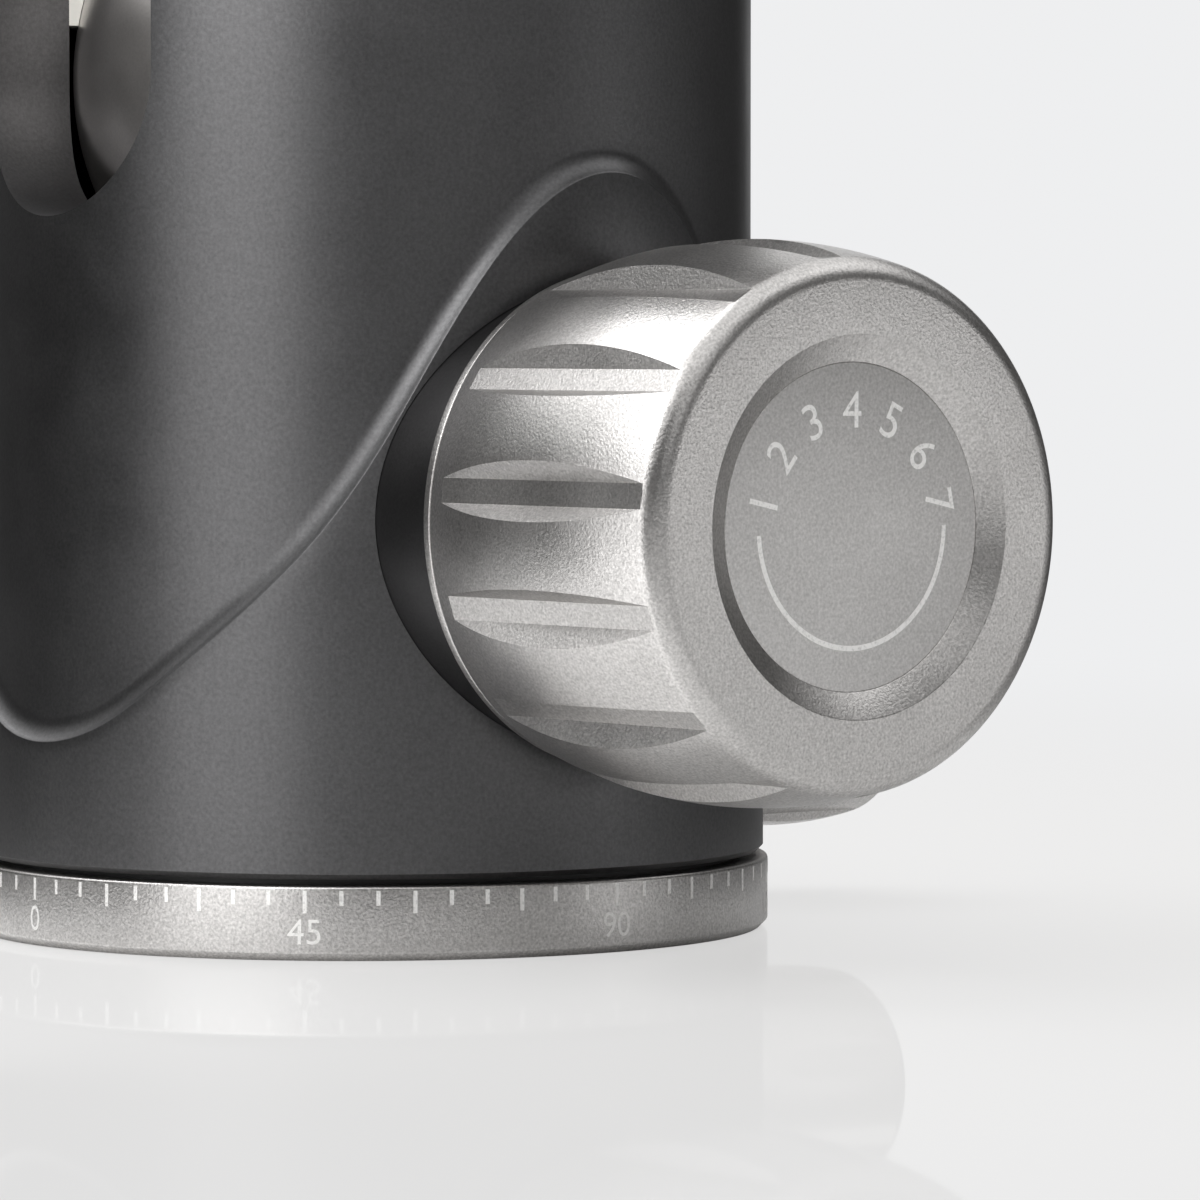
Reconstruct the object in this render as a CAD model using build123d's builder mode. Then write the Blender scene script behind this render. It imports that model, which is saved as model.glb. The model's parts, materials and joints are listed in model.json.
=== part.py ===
from build123d import *
import os
from math import radians, sin, sqrt, tan

# Tripod ball head in millimetres. Z is the pan axis, the foot of the base lies at Z = 0,
# the ball lock knob points along +X and the drop notch opens towards -Y.

# Fits and gaps
running_gap = 0.05
face_gap = 0.05
cover_gap = 0.3
overrun = 3.0

# Panning base
base_step = 0.37
base_height = 5.3
base_foot_chamfer = 0.6
base_rim_break = 0.2
spigot_inset = 9.5
groove_depth = 1.0
groove_flat = 1.0
socket_radius = 3.97
socket_depth = 12.0
bushing_wall = 3.6
bearing_thickness = 1.0
bearing_inset = 1.8
thrust_washer_thickness = 0.8
retaining_plate_lip = 2.7
retaining_plate_thickness = 1.6
retaining_screw_inset = 4.3
retaining_screw_count = 4

# Housing shell
housing_wall = 6.26
skirt_step = 0.97
skirt_break = 0.4
shadow_gap = 0.45
chamber_gap = 0.4
lip_height = 12.0
top_round = 3.0
wave_trough_rise = 9.15
wave_crest_margin = 7.65
wave_foot_round = 0.85
wave_shares = ((0.0, 0.0), (0.23, 0.035), (0.41, 0.12), (0.715, 0.355), (0.877, 0.65), (1.0, 1.0))
notch_radius = 10.36

# Ball, stem and the two ball seats
ball_radius = 22.0
race_low = 4.0
race_high = 8.5
cup_rim_drop = 11.2
cup_hole_radius = 8.0
cup_relief = 0.6
stem_radius = 9.5
stem_waist = 0.8
stem_shank_radius = 5.0
stem_shank_length = 13.0
stem_flange_radius = 15.0
stem_neck_length = 9.4
stem_flange_thickness = 2.0
stem_flange_break = 0.5

# Core block and lift piston inside the housing
core_flange_margin = 0.2
core_flange_thickness = 2.2
core_screw_count = 4
core_screw_wall = 0.5
ledge_web = 1.3
plate_clearance = 0.3
piston_room = 0.6
piston_web = 1.7
piston_roof = 3.6
piston_spring_height = 1.2
piston_spring_wall = 1.4
piston_spring_thickness = 0.4
core_relief = 0.4

# Wedges and brake shoe driven by the lock screws
wedge_radius = 5.5
wedge_tip = 4.0
wedge_middle = 9.0
wedge_room = 2.43
wedge_slope = 45.0
pocket_gap = 0.35
friction_backoff = 0.35
shoe_radius = 4.4
shoe_back_inset = 1.85
nut_bore_floor = 1.2
screw_end_room = 1.2

# Lock hardware shared by the three locks
flange_thickness = 1.3
flange_wall = 2.9
bush_wall = 3.2
collar_stand = 0.8
collar_break = 0.3
backplate_thickness = 0.7
backplate_inset = 0.5

# Knob form shared by all knobs
rear_radius_share = 0.904
crown_place_share = 0.52
flute_floor_share = 0.932
dish_radius_share = 0.665
dish_floor_share = 0.57
front_round_share = 0.09
screw_pocket_share = 0.72
flute_half_width = 0.87
flute_phase = 18.3
dish_depth = 1.0
cap_thickness = 1.4
knob_rear_break = 0.3
knob_screw_radius = 2.0
knob_screw_head_radius = 3.4
knob_screw_head_height = 2.2
knob_screw_length = 7.0
knob_screw_hex = 1.25

# Ball lock knob and collar
ball_lock_spindle_radius = 4.0
ball_lock_pocket_depth = 6.2
ball_lock_collar_radius = 17.1
ball_lock_knob_radius = 19.8
ball_lock_knob_length = 25.4
ball_lock_flutes = 14
collar_screw_inset = 4.1
collar_screw_depth = 3.0

# Friction knob and collar
friction_spindle_radius = 3.0
friction_pocket_depth = 4.4
friction_collar_radius = 9.6
friction_knob_radius = 11.0
friction_knob_length = 13.5
friction_flutes = 9

# Pan lock knob and collar
pan_lock_spindle_radius = 3.0
pan_lock_pocket_depth = 1.6
pan_lock_collar_radius = 7.4
pan_lock_foot_wall = 1.65
pan_lock_knob_radius = 9.2
pan_lock_knob_length = 15.0
pan_lock_flutes = 8

# Quick-release clamp
clamp_length = 46.0
clamp_side_wall = 7.9
clamp_corner_radius = 5.0
clamp_floor_height = 8.6
clamp_jaw_height = 5.0
clamp_edge_break = 0.6
dovetail_half_width = 19.1
dovetail_foot = 1.0
dovetail_rise = 3.0
jaw_split_inset = 2.1
jaw_gap = 0.6
clamp_bolt_radius = 3.0
clamp_bolt_head_radius = 5.0
clamp_bolt_head_height = 4.0
clamp_bolt_depth = 10.0
clamp_bolt_hex = 2.5
clamp_spindle_radius = 2.5
clamp_spindle_tip = 6.8
clamp_flange_wall = 1.2
guide_pin_radius = 2.0
guide_pin_spacing = 28.0
guide_pin_reach = 9.0
clamp_knob_radius = 8.4
clamp_knob_length = 12.5
clamp_flutes = 8
guide_pin_depth = 6.4
level_inset = 10.0
level_edge = 0.9
level_radius = 3.9
level_wall = 0.8
level_depth = 2.6
level_floor = 0.8
level_sink = 0.1
relief_groove_width = 2.0
relief_groove_depth = 0.5

# Countersunk and collar screws
small_screw_radius = 1.25
small_screw_head_radius = 2.3
small_screw_length = 6.0
small_screw_hex = 0.75
small_screw_hex_depth = 0.9

# Places that follow from the sizes above
chamber_radius = ball_radius + chamber_gap
seat_radius = ball_radius + running_gap
upper_radius = chamber_radius + housing_wall
skirt_radius = upper_radius + skirt_step
base_radius = skirt_radius + base_step
spigot_radius = ball_radius - spigot_inset
retaining_plate_radius = spigot_radius + retaining_plate_lip
retaining_screw_ring_radius = spigot_radius - retaining_screw_inset
collar_screw_ring_radius = ball_lock_collar_radius - collar_screw_inset
piston_radius = retaining_plate_radius + plate_clearance + piston_spring_wall
bushing_radius = socket_radius + bushing_wall
bearing_radius = skirt_radius - bearing_inset
housing_bottom = base_height + shadow_gap
core_bottom = base_height + bearing_thickness + face_gap
core_radius = chamber_radius - running_gap
shoe_back = core_radius - shoe_back_inset
core_screw_ring_radius = core_radius + core_screw_wall + small_screw_radius
core_flange_radius = core_screw_ring_radius + small_screw_head_radius + core_flange_margin
pan_lock_height = housing_bottom + pan_lock_collar_radius + pan_lock_foot_wall
ledge_top = pan_lock_height + shoe_radius + running_gap + ledge_web
washer_bottom = ledge_top + face_gap
spigot_top = washer_bottom + thrust_washer_thickness
plate_top = spigot_top + retaining_plate_thickness
piston_bottom = plate_top + piston_room
ball_lock_height = piston_bottom + piston_web + pocket_gap + wedge_radius
piston_top = ball_lock_height + wedge_radius + pocket_gap + piston_roof
ball_height = piston_top + cup_relief + ball_radius
housing_top = ball_height + lip_height
wave_trough_height = housing_bottom + wave_trough_rise
wave_crest_height = ball_lock_height + ball_lock_collar_radius + wave_crest_margin
wedge_back = skirt_radius - ball_lock_pocket_depth - wedge_room
spring_ledge = piston_bottom - piston_spring_height
piston_bore = piston_radius + running_gap
core_top = piston_top - core_relief
cup_bottom = piston_top + face_gap
cup_rim = ball_height - cup_rim_drop
ball_flat = sqrt(ball_radius**2 - (stem_radius + cover_gap) ** 2)
flange_under = ball_height + ball_radius + stem_neck_length
clamp_foot = flange_under + stem_flange_thickness
clamp_floor = clamp_foot + clamp_floor_height
clamp_top = clamp_floor + clamp_jaw_height
clamp_screw_height = clamp_floor - clamp_floor_height / 2
clamp_half_width = dovetail_half_width + clamp_side_wall
jaw_split = dovetail_half_width - jaw_split_inset
jaw_face = jaw_split + jaw_gap
dovetail_lip = dovetail_half_width - dovetail_rise
level_place = clamp_length / 2 - level_inset

ball_lock_side = (1, 0, 0)
friction_side = (-1, 0, 0)
pan_lock_side = (0, 1, 0)
up = Vector(0, 0, 1)


def axis_plane(out, height):
    """Plane through a knob's axis: X runs outward along it and Y points up."""
    return Plane(origin=(0, 0, height), x_dir=out, z_dir=Vector(*out).cross(up))


def end_plane(out, height, distance):
    """Plane square to a knob's axis at a distance from the pan axis, Y pointing up."""
    origin = Vector(*out) * distance + up * height
    return Plane(origin=origin, x_dir=up.cross(Vector(*out)), z_dir=out)


def turned(outline, out, height):
    """Piece turned about a knob's axis from a closed outline of (distance, radius) points."""
    with BuildPart() as piece:
        with BuildSketch(axis_plane(out, height)):
            with BuildLine():
                Polyline(*outline, close=True)
            make_face()
        revolve(axis=Axis((0, 0, height), out))
    return piece.part


def turned_up(outline):
    """Piece turned about the pan axis from a closed outline of (radius, height) points."""
    with BuildPart() as piece:
        with BuildSketch(Plane.XZ):
            with BuildLine():
                Polyline(*outline, close=True)
            make_face()
        revolve(axis=Axis.Z)
    return piece.part


def ring(low, high, inner, outer):
    """Closed outline of a plain ring, for turned or turned_up with its pairs swapped."""
    return [(low, inner), (high, inner), (high, outer), (low, outer)]


def upright(outline):
    """The same outline with radius first, for pieces turned about the pan axis."""
    return [(radius, place) for place, radius in outline]


def rod(out, height, start, end, radius):
    """Plain round bar along a knob's axis."""
    with BuildPart() as bar:
        with BuildSketch(end_plane(out, height, start)):
            Circle(radius)
        extrude(amount=end - start)
    return bar.part


def countersunk_screw(length):
    """Small countersunk screw with its head's face at the origin, pointing down."""
    cone = small_screw_head_radius - small_screw_radius
    with BuildPart() as screw:
        with BuildSketch(Plane.XZ):
            with BuildLine():
                Polyline(
                    (0, 0),
                    (small_screw_head_radius, 0),
                    (small_screw_radius, -cone),
                    (small_screw_radius, -length),
                    (0, -length),
                    close=True,
                )
            make_face()
        revolve(axis=Axis.Z)
        with BuildSketch():
            RegularPolygon(small_screw_hex, 6)
        extrude(amount=-small_screw_hex_depth, mode=Mode.SUBTRACT)
    return screw.part


def save(piece, name):
    """Label a finished piece and write it to its own file."""
    piece.label = name
    export_step(piece, "parts/" + name + ".step")


def fluted_knob(out, height, rear, length, radius, flutes, bore):
    """Barrel knob with a dished face, trapezoid flutes and a hexagonal drive bore."""
    front = rear + length
    crown = rear + length * crown_place_share
    rear_radius = radius * rear_radius_share
    drop = radius - rear_radius
    arc = ((crown - rear) ** 2 + drop**2) / (2 * drop)
    front_radius = radius - arc + sqrt(arc**2 - (front - crown) ** 2)
    dish = radius * dish_radius_share
    dish_floor = radius * dish_floor_share
    cap_seat = front - dish_depth - cap_thickness
    floor = radius * flute_floor_share
    flare = radius - floor + overrun
    along = Axis((0, 0, height), out)
    with BuildPart() as knob:
        with BuildSketch(axis_plane(out, height)):
            with BuildLine():
                Line((rear, 0), (rear, rear_radius))
                ThreePointArc((rear, rear_radius), (crown, radius), (front, front_radius))
                Polyline(
                    (front, front_radius),
                    (front, dish),
                    (front - dish_depth, dish_floor),
                    (cap_seat, dish_floor),
                    (cap_seat, 0),
                    (rear, 0),
                )
            make_face()
        revolve(axis=along)
        front_edge = knob.edges().group_by(along)[-1].sort_by(SortBy.RADIUS)[-1]
        fillet(front_edge, radius * front_round_share)
        rear_edge = knob.edges().group_by(along)[0].sort_by(SortBy.RADIUS)[-1]
        chamfer(rear_edge, knob_rear_break)
        with BuildSketch(end_plane(out, height, cap_seat)):
            Circle(dish_floor * screw_pocket_share)
        extrude(amount=-knob_screw_head_height - cover_gap, mode=Mode.SUBTRACT)
        with BuildSketch(end_plane(out, height, rear)):
            RegularPolygon(bore, 6)
        extrude(amount=length, mode=Mode.SUBTRACT)
        with BuildSketch(end_plane(out, height, rear)):
            with PolarLocations(floor, flutes, start_angle=flute_phase):
                Polygon(
                    (0, -flute_half_width),
                    (flare, -flute_half_width - flare),
                    (flare, flute_half_width + flare),
                    (0, flute_half_width),
                    align=None,
                )
        extrude(amount=length, mode=Mode.SUBTRACT)
    return knob.part


def knob_cap(out, height, rear, length, radius):
    """Printed disc pressed into the dish of a knob."""
    face = rear + length - dish_depth
    return rod(out, height, face - cap_thickness, face, radius * dish_floor_share)


def knob_screw(out, height, head_seat):
    """Socket screw that holds a knob on the end of its spindle."""
    with BuildPart() as screw:
        add(rod(out, height, head_seat, head_seat + knob_screw_head_height, knob_screw_head_radius))
        add(rod(out, height, head_seat - knob_screw_length, head_seat, knob_screw_radius))
        with BuildSketch(end_plane(out, height, head_seat + knob_screw_head_height)):
            RegularPolygon(knob_screw_hex, 6)
        extrude(amount=-knob_screw_head_height / 2, mode=Mode.SUBTRACT)
    return screw.part


def spindle(out, height, radius, tip, flange_start, flange_radius, drive_start, end):
    """Lock screw: plain shank, captive flange, hexagonal drive end and tapped hole."""
    with BuildPart() as shaft:
        add(rod(out, height, tip, drive_start, radius))
        add(rod(out, height, flange_start, flange_start + flange_thickness, flange_radius))
        with BuildSketch(end_plane(out, height, drive_start)):
            RegularPolygon(radius, 6)
        extrude(amount=end - drive_start)
        add(rod(out, height, end - knob_screw_length, end, knob_screw_radius), mode=Mode.SUBTRACT)
    return shaft.part


def head_seat_of(rear, length):
    """Distance at which the knob screw's head sits, at the bottom of its pocket."""
    return rear + length - dish_depth - cap_thickness - knob_screw_head_height - cover_gap


def save_knob(name, out, height, rear, length, radius, flutes, spindle_radius):
    """Write a knob with its cap, backplate and screw; the backplate is the thin rim behind it."""
    knob_rear = rear + backplate_thickness
    save(
        fluted_knob(out, height, knob_rear, length, radius, flutes, spindle_radius + running_gap),
        name + "_knob",
    )
    save(knob_cap(out, height, knob_rear, length, radius), name + "_cap")
    rim = radius * rear_radius_share - backplate_inset
    plate = ring(rear, knob_rear, spindle_radius + running_gap, rim)
    save(turned(plate, out, height), name + "_backplate")
    save(knob_screw(out, height, head_seat_of(knob_rear, length)), name + "_screw")


def save_lock(
    name, out, height, pocket_depth, collar_radius, tip, spindle_radius, knob_length, knob_radius, flutes
):
    """Write a lock's collar, bush, captive spindle and knob; return the collar pocket's floor."""
    floor = skirt_radius - pocket_depth
    collar_front = skirt_radius + collar_stand
    bush_radius = spindle_radius + bush_wall
    flange_start = floor + running_gap
    bush_start = flange_start + flange_thickness + running_gap
    knob_start = collar_front + cover_gap
    with BuildPart() as collar:
        add(turned(ring(floor, collar_front, bush_radius, collar_radius), out, height))
        along = Axis((0, 0, height), out)
        front_edge = collar.edges().group_by(along)[-1].sort_by(SortBy.RADIUS)[-1]
        chamfer(front_edge, collar_break)
        if name == "ball_lock":
            with Locations(end_plane(out, height, collar_front)):
                with PolarLocations(collar_screw_ring_radius, 2):
                    CounterSinkHole(small_screw_radius, small_screw_head_radius)
    save(collar.part, name + "_collar")
    bush = ring(bush_start, collar_front, spindle_radius + running_gap, bush_radius)
    save(turned(bush, out, height), name + "_bush")
    end = head_seat_of(knob_start + backplate_thickness, knob_length)
    flange = spindle_radius + flange_wall
    shaft = spindle(out, height, spindle_radius, tip, flange_start, flange, knob_start, end)
    save(shaft, name + "_spindle")
    save_knob(name, out, height, knob_start, knob_length, knob_radius, flutes, spindle_radius)
    return floor


def wedge_blank(out, radius, back, offset):
    """Bar whose inner end is cut by the lift slope, moved outward by an offset."""
    rise = tan(radians(wedge_slope))
    reach = radius + overrun
    middle = wedge_middle + offset
    start = middle - reach / rise
    with BuildPart() as blank:
        with BuildSketch(end_plane(out, ball_lock_height, wedge_tip + min(offset, 0))):
            Circle(radius)
        extrude(amount=back - wedge_tip - min(offset, 0))
        with BuildSketch(axis_plane(out, ball_lock_height)):
            Polygon(
                (start, -reach),
                (start + 2 * reach / rise, reach),
                (start - overrun, reach),
                (start - overrun, -reach),
                align=None,
            )
        extrude(amount=reach, both=True, mode=Mode.SUBTRACT)
    return blank.part


def sliding_nut(blank, out, height, tip, back, spindle_radius):
    """A wedge or shoe with the blind bore that its lock screw turns in."""
    with BuildPart() as nut:
        add(blank)
        bore = rod(out, height, tip - screw_end_room, back + overrun, spindle_radius + running_gap)
        add(bore, mode=Mode.SUBTRACT)
    return nut.part


os.makedirs("parts", exist_ok=True)

# Panning base: a turned disc whose spigot carries the housing, grooved for the pan brake
groove_edge = groove_flat + groove_depth
with BuildPart() as pan_base:
    with BuildSketch(Plane.XZ):
        with BuildLine():
            Polyline(
                (bushing_radius, 0),
                (base_radius, 0),
                (base_radius, base_height),
                (spigot_radius, base_height),
                (spigot_radius, pan_lock_height - groove_edge),
                (spigot_radius - groove_depth, pan_lock_height - groove_flat),
                (spigot_radius - groove_depth, pan_lock_height + groove_flat),
                (spigot_radius, pan_lock_height + groove_edge),
                (spigot_radius, spigot_top),
                (0, spigot_top),
                (0, socket_depth),
                (bushing_radius, socket_depth),
                close=True,
            )
        make_face()
    revolve(axis=Axis.Z)
    rim = pan_base.edges().filter_by(GeomType.CIRCLE).group_by(SortBy.RADIUS)[-1].sort_by(Axis.Z)
    chamfer(rim[0], base_foot_chamfer)
    chamfer(rim[-1], base_rim_break)
    with Locations((0, 0, spigot_top)):
        with PolarLocations(retaining_screw_ring_radius, retaining_screw_count):
            Hole(small_screw_radius, depth=small_screw_length - retaining_plate_thickness)
save(pan_base.part, "pan_base")

save(turned_up(upright(ring(0, socket_depth, socket_radius, bushing_radius))), "tripod_bushing")

bearing = ring(base_height, base_height + bearing_thickness, spigot_radius + running_gap, bearing_radius)
save(turned_up(upright(bearing)), "pan_bearing_ring")

washer = ring(washer_bottom, spigot_top, spigot_radius + running_gap, retaining_plate_radius)
save(turned_up(upright(washer)), "thrust_washer")

with BuildPart() as retaining_plate:
    with BuildSketch(Plane.XY.offset(spigot_top)):
        Circle(retaining_plate_radius)
    extrude(amount=retaining_plate_thickness)
    with Locations((0, 0, plate_top)):
        with PolarLocations(retaining_screw_ring_radius, retaining_screw_count):
            CounterSinkHole(small_screw_radius, small_screw_head_radius)
save(retaining_plate.part, "retaining_plate")

plate_screw = countersunk_screw(small_screw_length)
with BuildPart() as retaining_screws:
    with Locations((0, 0, plate_top)):
        with PolarLocations(retaining_screw_ring_radius, retaining_screw_count):
            add(plate_screw)
save(retaining_screws.part, "retaining_screws")

# Lift piston and the two wedges that raise it against the ball cup
lock_tip = wedge_middle + wedge_radius + nut_bore_floor + screw_end_room
ball_wedge_blank = wedge_blank(ball_lock_side, wedge_radius, wedge_back, 0)
ball_pocket = wedge_blank(ball_lock_side, wedge_radius + pocket_gap, piston_radius + overrun, -face_gap)
friction_wedge_blank = wedge_blank(friction_side, wedge_radius, wedge_back, 0)
friction_pocket = wedge_blank(
    friction_side, wedge_radius + pocket_gap, piston_radius + overrun, -friction_backoff
)
with BuildPart() as lift_piston:
    with BuildSketch(Plane.XY.offset(piston_bottom)):
        Circle(piston_radius)
    extrude(amount=piston_top - piston_bottom)
    add(ball_pocket, mode=Mode.SUBTRACT)
    add(friction_pocket, mode=Mode.SUBTRACT)
save(lift_piston.part, "lift_piston")

ball_lock_wedge = sliding_nut(
    ball_wedge_blank, ball_lock_side, ball_lock_height, lock_tip, wedge_back, ball_lock_spindle_radius
)
save(ball_lock_wedge, "ball_lock_wedge")
friction_wedge = sliding_nut(
    friction_wedge_blank, friction_side, ball_lock_height, lock_tip, wedge_back, friction_spindle_radius
)
save(friction_wedge, "friction_wedge")

# Brake shoe with a cone that sits in the spigot's groove
shoe_tip = spigot_radius - groove_depth + face_gap
shoe_outline = [
    (shoe_tip, 0),
    (shoe_tip, groove_flat),
    (shoe_tip + shoe_radius - groove_flat, shoe_radius),
    (shoe_back, shoe_radius),
    (shoe_back, 0),
]
shoe_blank = turned(shoe_outline, pan_lock_side, pan_lock_height)
shoe_screw_tip = shoe_tip + shoe_radius - groove_flat + screw_end_room
pan_lock_shoe = sliding_nut(
    shoe_blank, pan_lock_side, pan_lock_height, shoe_screw_tip, shoe_back, pan_lock_spindle_radius
)
save(pan_lock_shoe, "pan_lock_shoe")

# Core block: bearing bore for the spigot below, piston bore above, cross bores for the wedges
with BuildPart() as core_block:
    with BuildSketch(Plane.XZ):
        with BuildLine():
            Polyline(
                (spigot_radius + running_gap, core_bottom),
                (core_flange_radius, core_bottom),
                (core_flange_radius, core_bottom + core_flange_thickness),
                (core_radius, core_bottom + core_flange_thickness),
                (core_radius, core_top),
                (piston_bore, core_top),
                (piston_bore, spring_ledge),
                (retaining_plate_radius + plate_clearance, spring_ledge),
                (retaining_plate_radius + plate_clearance, ledge_top),
                (spigot_radius + running_gap, ledge_top),
                close=True,
            )
        make_face()
    revolve(axis=Axis.Z)
    with BuildSketch(end_plane(ball_lock_side, ball_lock_height, -core_flange_radius)):
        Circle(wedge_radius + running_gap)
    extrude(amount=2 * core_flange_radius, mode=Mode.SUBTRACT)
    with BuildSketch(end_plane(pan_lock_side, pan_lock_height, 0)):
        Circle(shoe_radius + running_gap)
    extrude(amount=core_flange_radius, mode=Mode.SUBTRACT)
    with Locations(Plane(origin=(0, 0, core_bottom), z_dir=(0, 0, -1))):
        with PolarLocations(core_screw_ring_radius, core_screw_count, start_angle=45):
            CounterSinkHole(small_screw_radius, small_screw_head_radius, depth=core_flange_thickness)
save(core_block.part, "core_block")

with BuildPart() as core_screws:
    with Locations(Plane(origin=(0, 0, core_bottom), z_dir=(0, 0, -1))):
        with PolarLocations(core_screw_ring_radius, core_screw_count, start_angle=45):
            add(plate_screw)
save(core_screws.part, "core_screws")

spring_inner = piston_radius - piston_spring_wall
piston_spring = [
    (spring_inner, piston_bottom - piston_spring_thickness),
    (spring_inner, piston_bottom),
    (piston_radius, spring_ledge + piston_spring_thickness),
    (piston_radius, spring_ledge),
]
save(turned_up(piston_spring), "piston_spring")

# Ball seats: the race liner under the housing's lip and the cup on the piston
seat_plane_radius = sqrt(seat_radius**2 - race_high**2)
seat_foot_radius = sqrt(seat_radius**2 - race_low**2)
race_middle = (race_low + race_high) / 2
with BuildPart() as race_liner:
    with BuildSketch(Plane.XZ):
        with BuildLine():
            Polyline(
                (seat_foot_radius, ball_height + race_low),
                (chamber_radius, ball_height + race_low),
                (chamber_radius, ball_height + race_high),
                (seat_plane_radius, ball_height + race_high),
            )
            ThreePointArc(
                (seat_plane_radius, ball_height + race_high),
                (sqrt(seat_radius**2 - race_middle**2), ball_height + race_middle),
                (seat_foot_radius, ball_height + race_low),
            )
        make_face()
    revolve(axis=Axis.Z)
    with BuildSketch(Plane.XZ):
        with Locations((0, ball_height)):
            Circle(notch_radius)
        with Locations((0, ball_height + lip_height)):
            Rectangle(2 * notch_radius, 2 * lip_height)
    extrude(amount=skirt_radius + overrun, mode=Mode.SUBTRACT)
save(race_liner.part, "race_liner")

cup_radius = chamber_radius - 2 * running_gap
cup_hole_drop = sqrt(seat_radius**2 - cup_hole_radius**2)
cup_mouth_radius = sqrt(seat_radius**2 - cup_rim_drop**2)
cup_middle_drop = (cup_hole_drop + cup_rim_drop) / 2
with BuildPart() as ball_cup:
    with BuildSketch(Plane.XZ):
        with BuildLine():
            Polyline(
                (cup_hole_radius, ball_height - cup_hole_drop),
                (cup_hole_radius, cup_bottom),
                (cup_radius, cup_bottom),
                (cup_radius, cup_rim),
                (cup_mouth_radius, cup_rim),
            )
            ThreePointArc(
                (cup_mouth_radius, cup_rim),
                (sqrt(seat_radius**2 - cup_middle_drop**2), ball_height - cup_middle_drop),
                (cup_hole_radius, ball_height - cup_hole_drop),
            )
        make_face()
    revolve(axis=Axis.Z)
save(ball_cup.part, "ball_cup")

# Locks: collar, bush, spindle and knob on three sides of the housing
ball_lock_floor = save_lock(
    "ball_lock",
    ball_lock_side,
    ball_lock_height,
    ball_lock_pocket_depth,
    ball_lock_collar_radius,
    lock_tip,
    ball_lock_spindle_radius,
    ball_lock_knob_length,
    ball_lock_knob_radius,
    ball_lock_flutes,
)
friction_floor = save_lock(
    "friction",
    friction_side,
    ball_lock_height,
    friction_pocket_depth,
    friction_collar_radius,
    lock_tip,
    friction_spindle_radius,
    friction_knob_length,
    friction_knob_radius,
    friction_flutes,
)
pan_lock_floor = save_lock(
    "pan_lock",
    pan_lock_side,
    pan_lock_height,
    pan_lock_pocket_depth,
    pan_lock_collar_radius,
    shoe_screw_tip,
    pan_lock_spindle_radius,
    pan_lock_knob_length,
    pan_lock_knob_radius,
    pan_lock_flutes,
)

collar_screw_length = skirt_radius + collar_stand - ball_lock_floor + collar_screw_depth
collar_screw = countersunk_screw(collar_screw_length)
collar_face = end_plane(ball_lock_side, ball_lock_height, skirt_radius + collar_stand)
with BuildPart() as ball_lock_collar_screws:
    with Locations(collar_face):
        with PolarLocations(collar_screw_ring_radius, 2):
            add(collar_screw)
save(ball_lock_collar_screws.part, "ball_lock_collar_screws")

# Wave-shaped skirt: the band of the upper cylinder below the wave, thickened outwards
wave_rise = wave_crest_height - wave_trough_height
wave_points = [
    (across * upper_radius, wave_trough_height + up_share * wave_rise)
    for across, up_share in wave_shares
]
crest_reach = upper_radius + overrun
wave_end = wave_points[-1]
wave_before = wave_points[-2]
crest_slope = (wave_end[1] - wave_before[1]) / (wave_end[0] - wave_before[0])
with BuildPart() as skirt_core:
    with BuildSketch(Plane.XZ):
        with BuildLine():
            Spline(*wave_points, tangents=((1, 0), (1, crest_slope)))
            Polyline(
                wave_end,
                (crest_reach, wave_end[1] + overrun * crest_slope),
                (crest_reach, housing_bottom),
                (0, housing_bottom),
                wave_points[0],
            )
        make_face()
        mirror(about=Plane.YZ)
    extrude(amount=crest_reach, both=True)
    with BuildSketch(Plane.XY.offset(housing_bottom)):
        Circle(upper_radius)
    extrude(amount=housing_top, mode=Mode.INTERSECT)
skirt_faces = skirt_core.faces().filter_by(GeomType.CYLINDER)


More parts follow.
